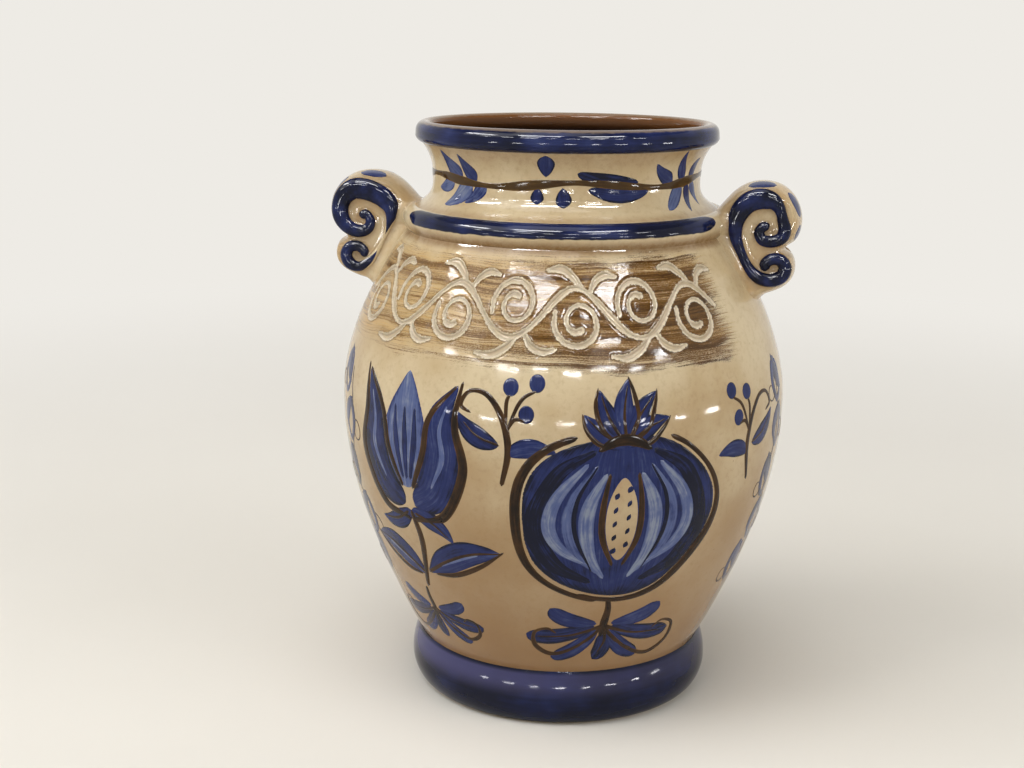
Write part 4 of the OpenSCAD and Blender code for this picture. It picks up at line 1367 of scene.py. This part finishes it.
def make_floor():
    """A pale floor that curves up into a backdrop all round, so that it has no edge in any view."""
    inner, corner, top = 2400.0, 900.0, 2600.0
    profile = [(0.01, 0.0), (600, 0), (1400, 0), (inner, 0)]
    profile += [(inner + corner * math.sin(t), corner * (1 - math.cos(t))) for t in np.radians(np.arange(10, 91, 10))]
    profile += [(inner + corner, top)]
    columns = 96
    angles = np.arange(columns) * 2 * np.pi / columns
    points = np.array([[(r * math.sin(a), r * math.cos(a), z) for r, z in profile] for a in angles])
    rows = len(profile)
    faces = [[i * rows + j, ((i + 1) % columns) * rows + j, ((i + 1) % columns) * rows + j + 1, i * rows + j + 1]
             for i in range(columns) for j in range(rows - 1)]
    floor = new_object("floor", points.reshape(-1, 3), faces)
    floor.data.materials.append(floor_paint())


FLOOR_PALE = srgb(236, 233, 226)
BACKDROP_WHITE = srgb(238, 235, 229)
SHADED_TO, WHITE_FROM = 200.0, 1300.0   # distances from the pot between which the floor turns into the backdrop


def floor_paint():
    """Pale paint that keeps the pot's shadow near it, and a plain white backdrop for what looks past it."""
    shade = Shade("floor_paint")
    vector, _, z, radius = shade.place()
    cloud = shade.noise(vector, 0.004, 2.0)
    paint = shade.mix(shade.ease(cloud, 0.3, 0.7, 0.0, 0.3), FLOOR_PALE, srgb(229, 225, 217))
    shade.set(Base_Color=paint, Roughness=0.8, Specular_IOR_Level=0.2)
    path = shade.nodes.new("ShaderNodeLightPath").outputs
    looks = shade.math("MAXIMUM", path["Is Camera Ray"], path["Is Glossy Ray"])
    looks = shade.math("MAXIMUM", looks, path["Is Transmission Ray"])
    far = shade.ease(shade.math("ADD", radius, z), SHADED_TO, WHITE_FROM)
    glow = shade.nodes.new("ShaderNodeEmission")
    glow.inputs["Color"].default_value = BACKDROP_WHITE
    both = shade.nodes.new("ShaderNodeMixShader")
    shade.put(both.inputs[0], shade.math("MULTIPLY", looks, far))
    shade.links.new(shade.surface.outputs[0], both.inputs[1])
    shade.links.new(glow.outputs[0], both.inputs[2])
    shade.links.new(both.outputs[0], shade.nodes["Material Output"].inputs["Surface"])
    return shade.material


def softbox(name, azimuth, elevation, distance, size, watts, colour=(1.0, 1.0, 1.0), only_shine=False):
    """A rectangular lamp facing the pot; azimuth is from the front towards +X. Some only make highlights."""
    data = bpy.data.lights.new(name, "AREA")
    data.shape = "RECTANGLE"
    data.size, data.size_y = size
    data.energy = watts
    data.color = colour
    lamp = bpy.data.objects.new(name, data)
    turn, lift = math.radians(azimuth), math.radians(elevation)
    way = Vector((math.sin(turn) * math.cos(lift), -math.cos(turn) * math.cos(lift), math.sin(lift)))
    target = Vector((0, 0, 0.16))
    lamp.location = target + way * distance
    lamp.rotation_euler = way.to_track_quat("Z", "Y").to_euler()
    lamp.visible_diffuse = not only_shine
    bpy.context.scene.collection.objects.link(lamp)
    return lamp


def make_lights():
    softbox("key", -58, 42, 2.2, (1.4, 1.4), 20.5, (1.0, 0.99, 0.975))
    fill = softbox("fill", 70, 28, 2.4, (1.4, 1.4), 13, (1.0, 0.975, 0.94))
    fill.visible_glossy = False
    softbox("top", -14, 74, 2.4, (1.6, 1.6), 23, (1.0, 0.99, 0.975))
    windows = ((-66, 38.5, 0.9, 0.2), (-15, 49, 1.05, 0.26), (41, 48, 1.05, 0.26), (-20, 35.5, 0.5, 0.15), (35, 34.5, 0.45, 0.15))
    for k, (azimuth, elevation, width, height) in enumerate(windows):
        softbox("window_%d" % k, azimuth, elevation, 2.2, (width, height), 165 * width * height, only_shine=True)
    for k in range(8):
        size = (0.22 + 0.09 * (k % 3), 0.05)
        softbox("pane_%d" % k, -54 + 17 * k, 23 + 2 * (k % 2), 2.0, size, 225 * size[0] * size[1], only_shine=True)
    for k in range(8):
        size = (0.2 + 0.08 * (k % 2), 0.05)
        softbox("low_pane_%d" % k, -46 + 19 * k, -2, 2.0, size, 180 * size[0] * size[1], only_shine=True)
    world = bpy.data.worlds.new("room")
    bpy.context.scene.world = world
    world.use_nodes = True
    background = world.node_tree.nodes["Background"]
    background.inputs["Color"].default_value = (1.0, 0.99, 0.975, 1)
    background.inputs["Strength"].default_value = 0.31


make_camera()
make_floor()
make_lights()
make_belly()
make_turned_pieces()
make_inside()
cobalt_paint = make_paintings()
make_lugs(cobalt_paint)

bpy.context.scene.view_settings.view_transform = "Standard"
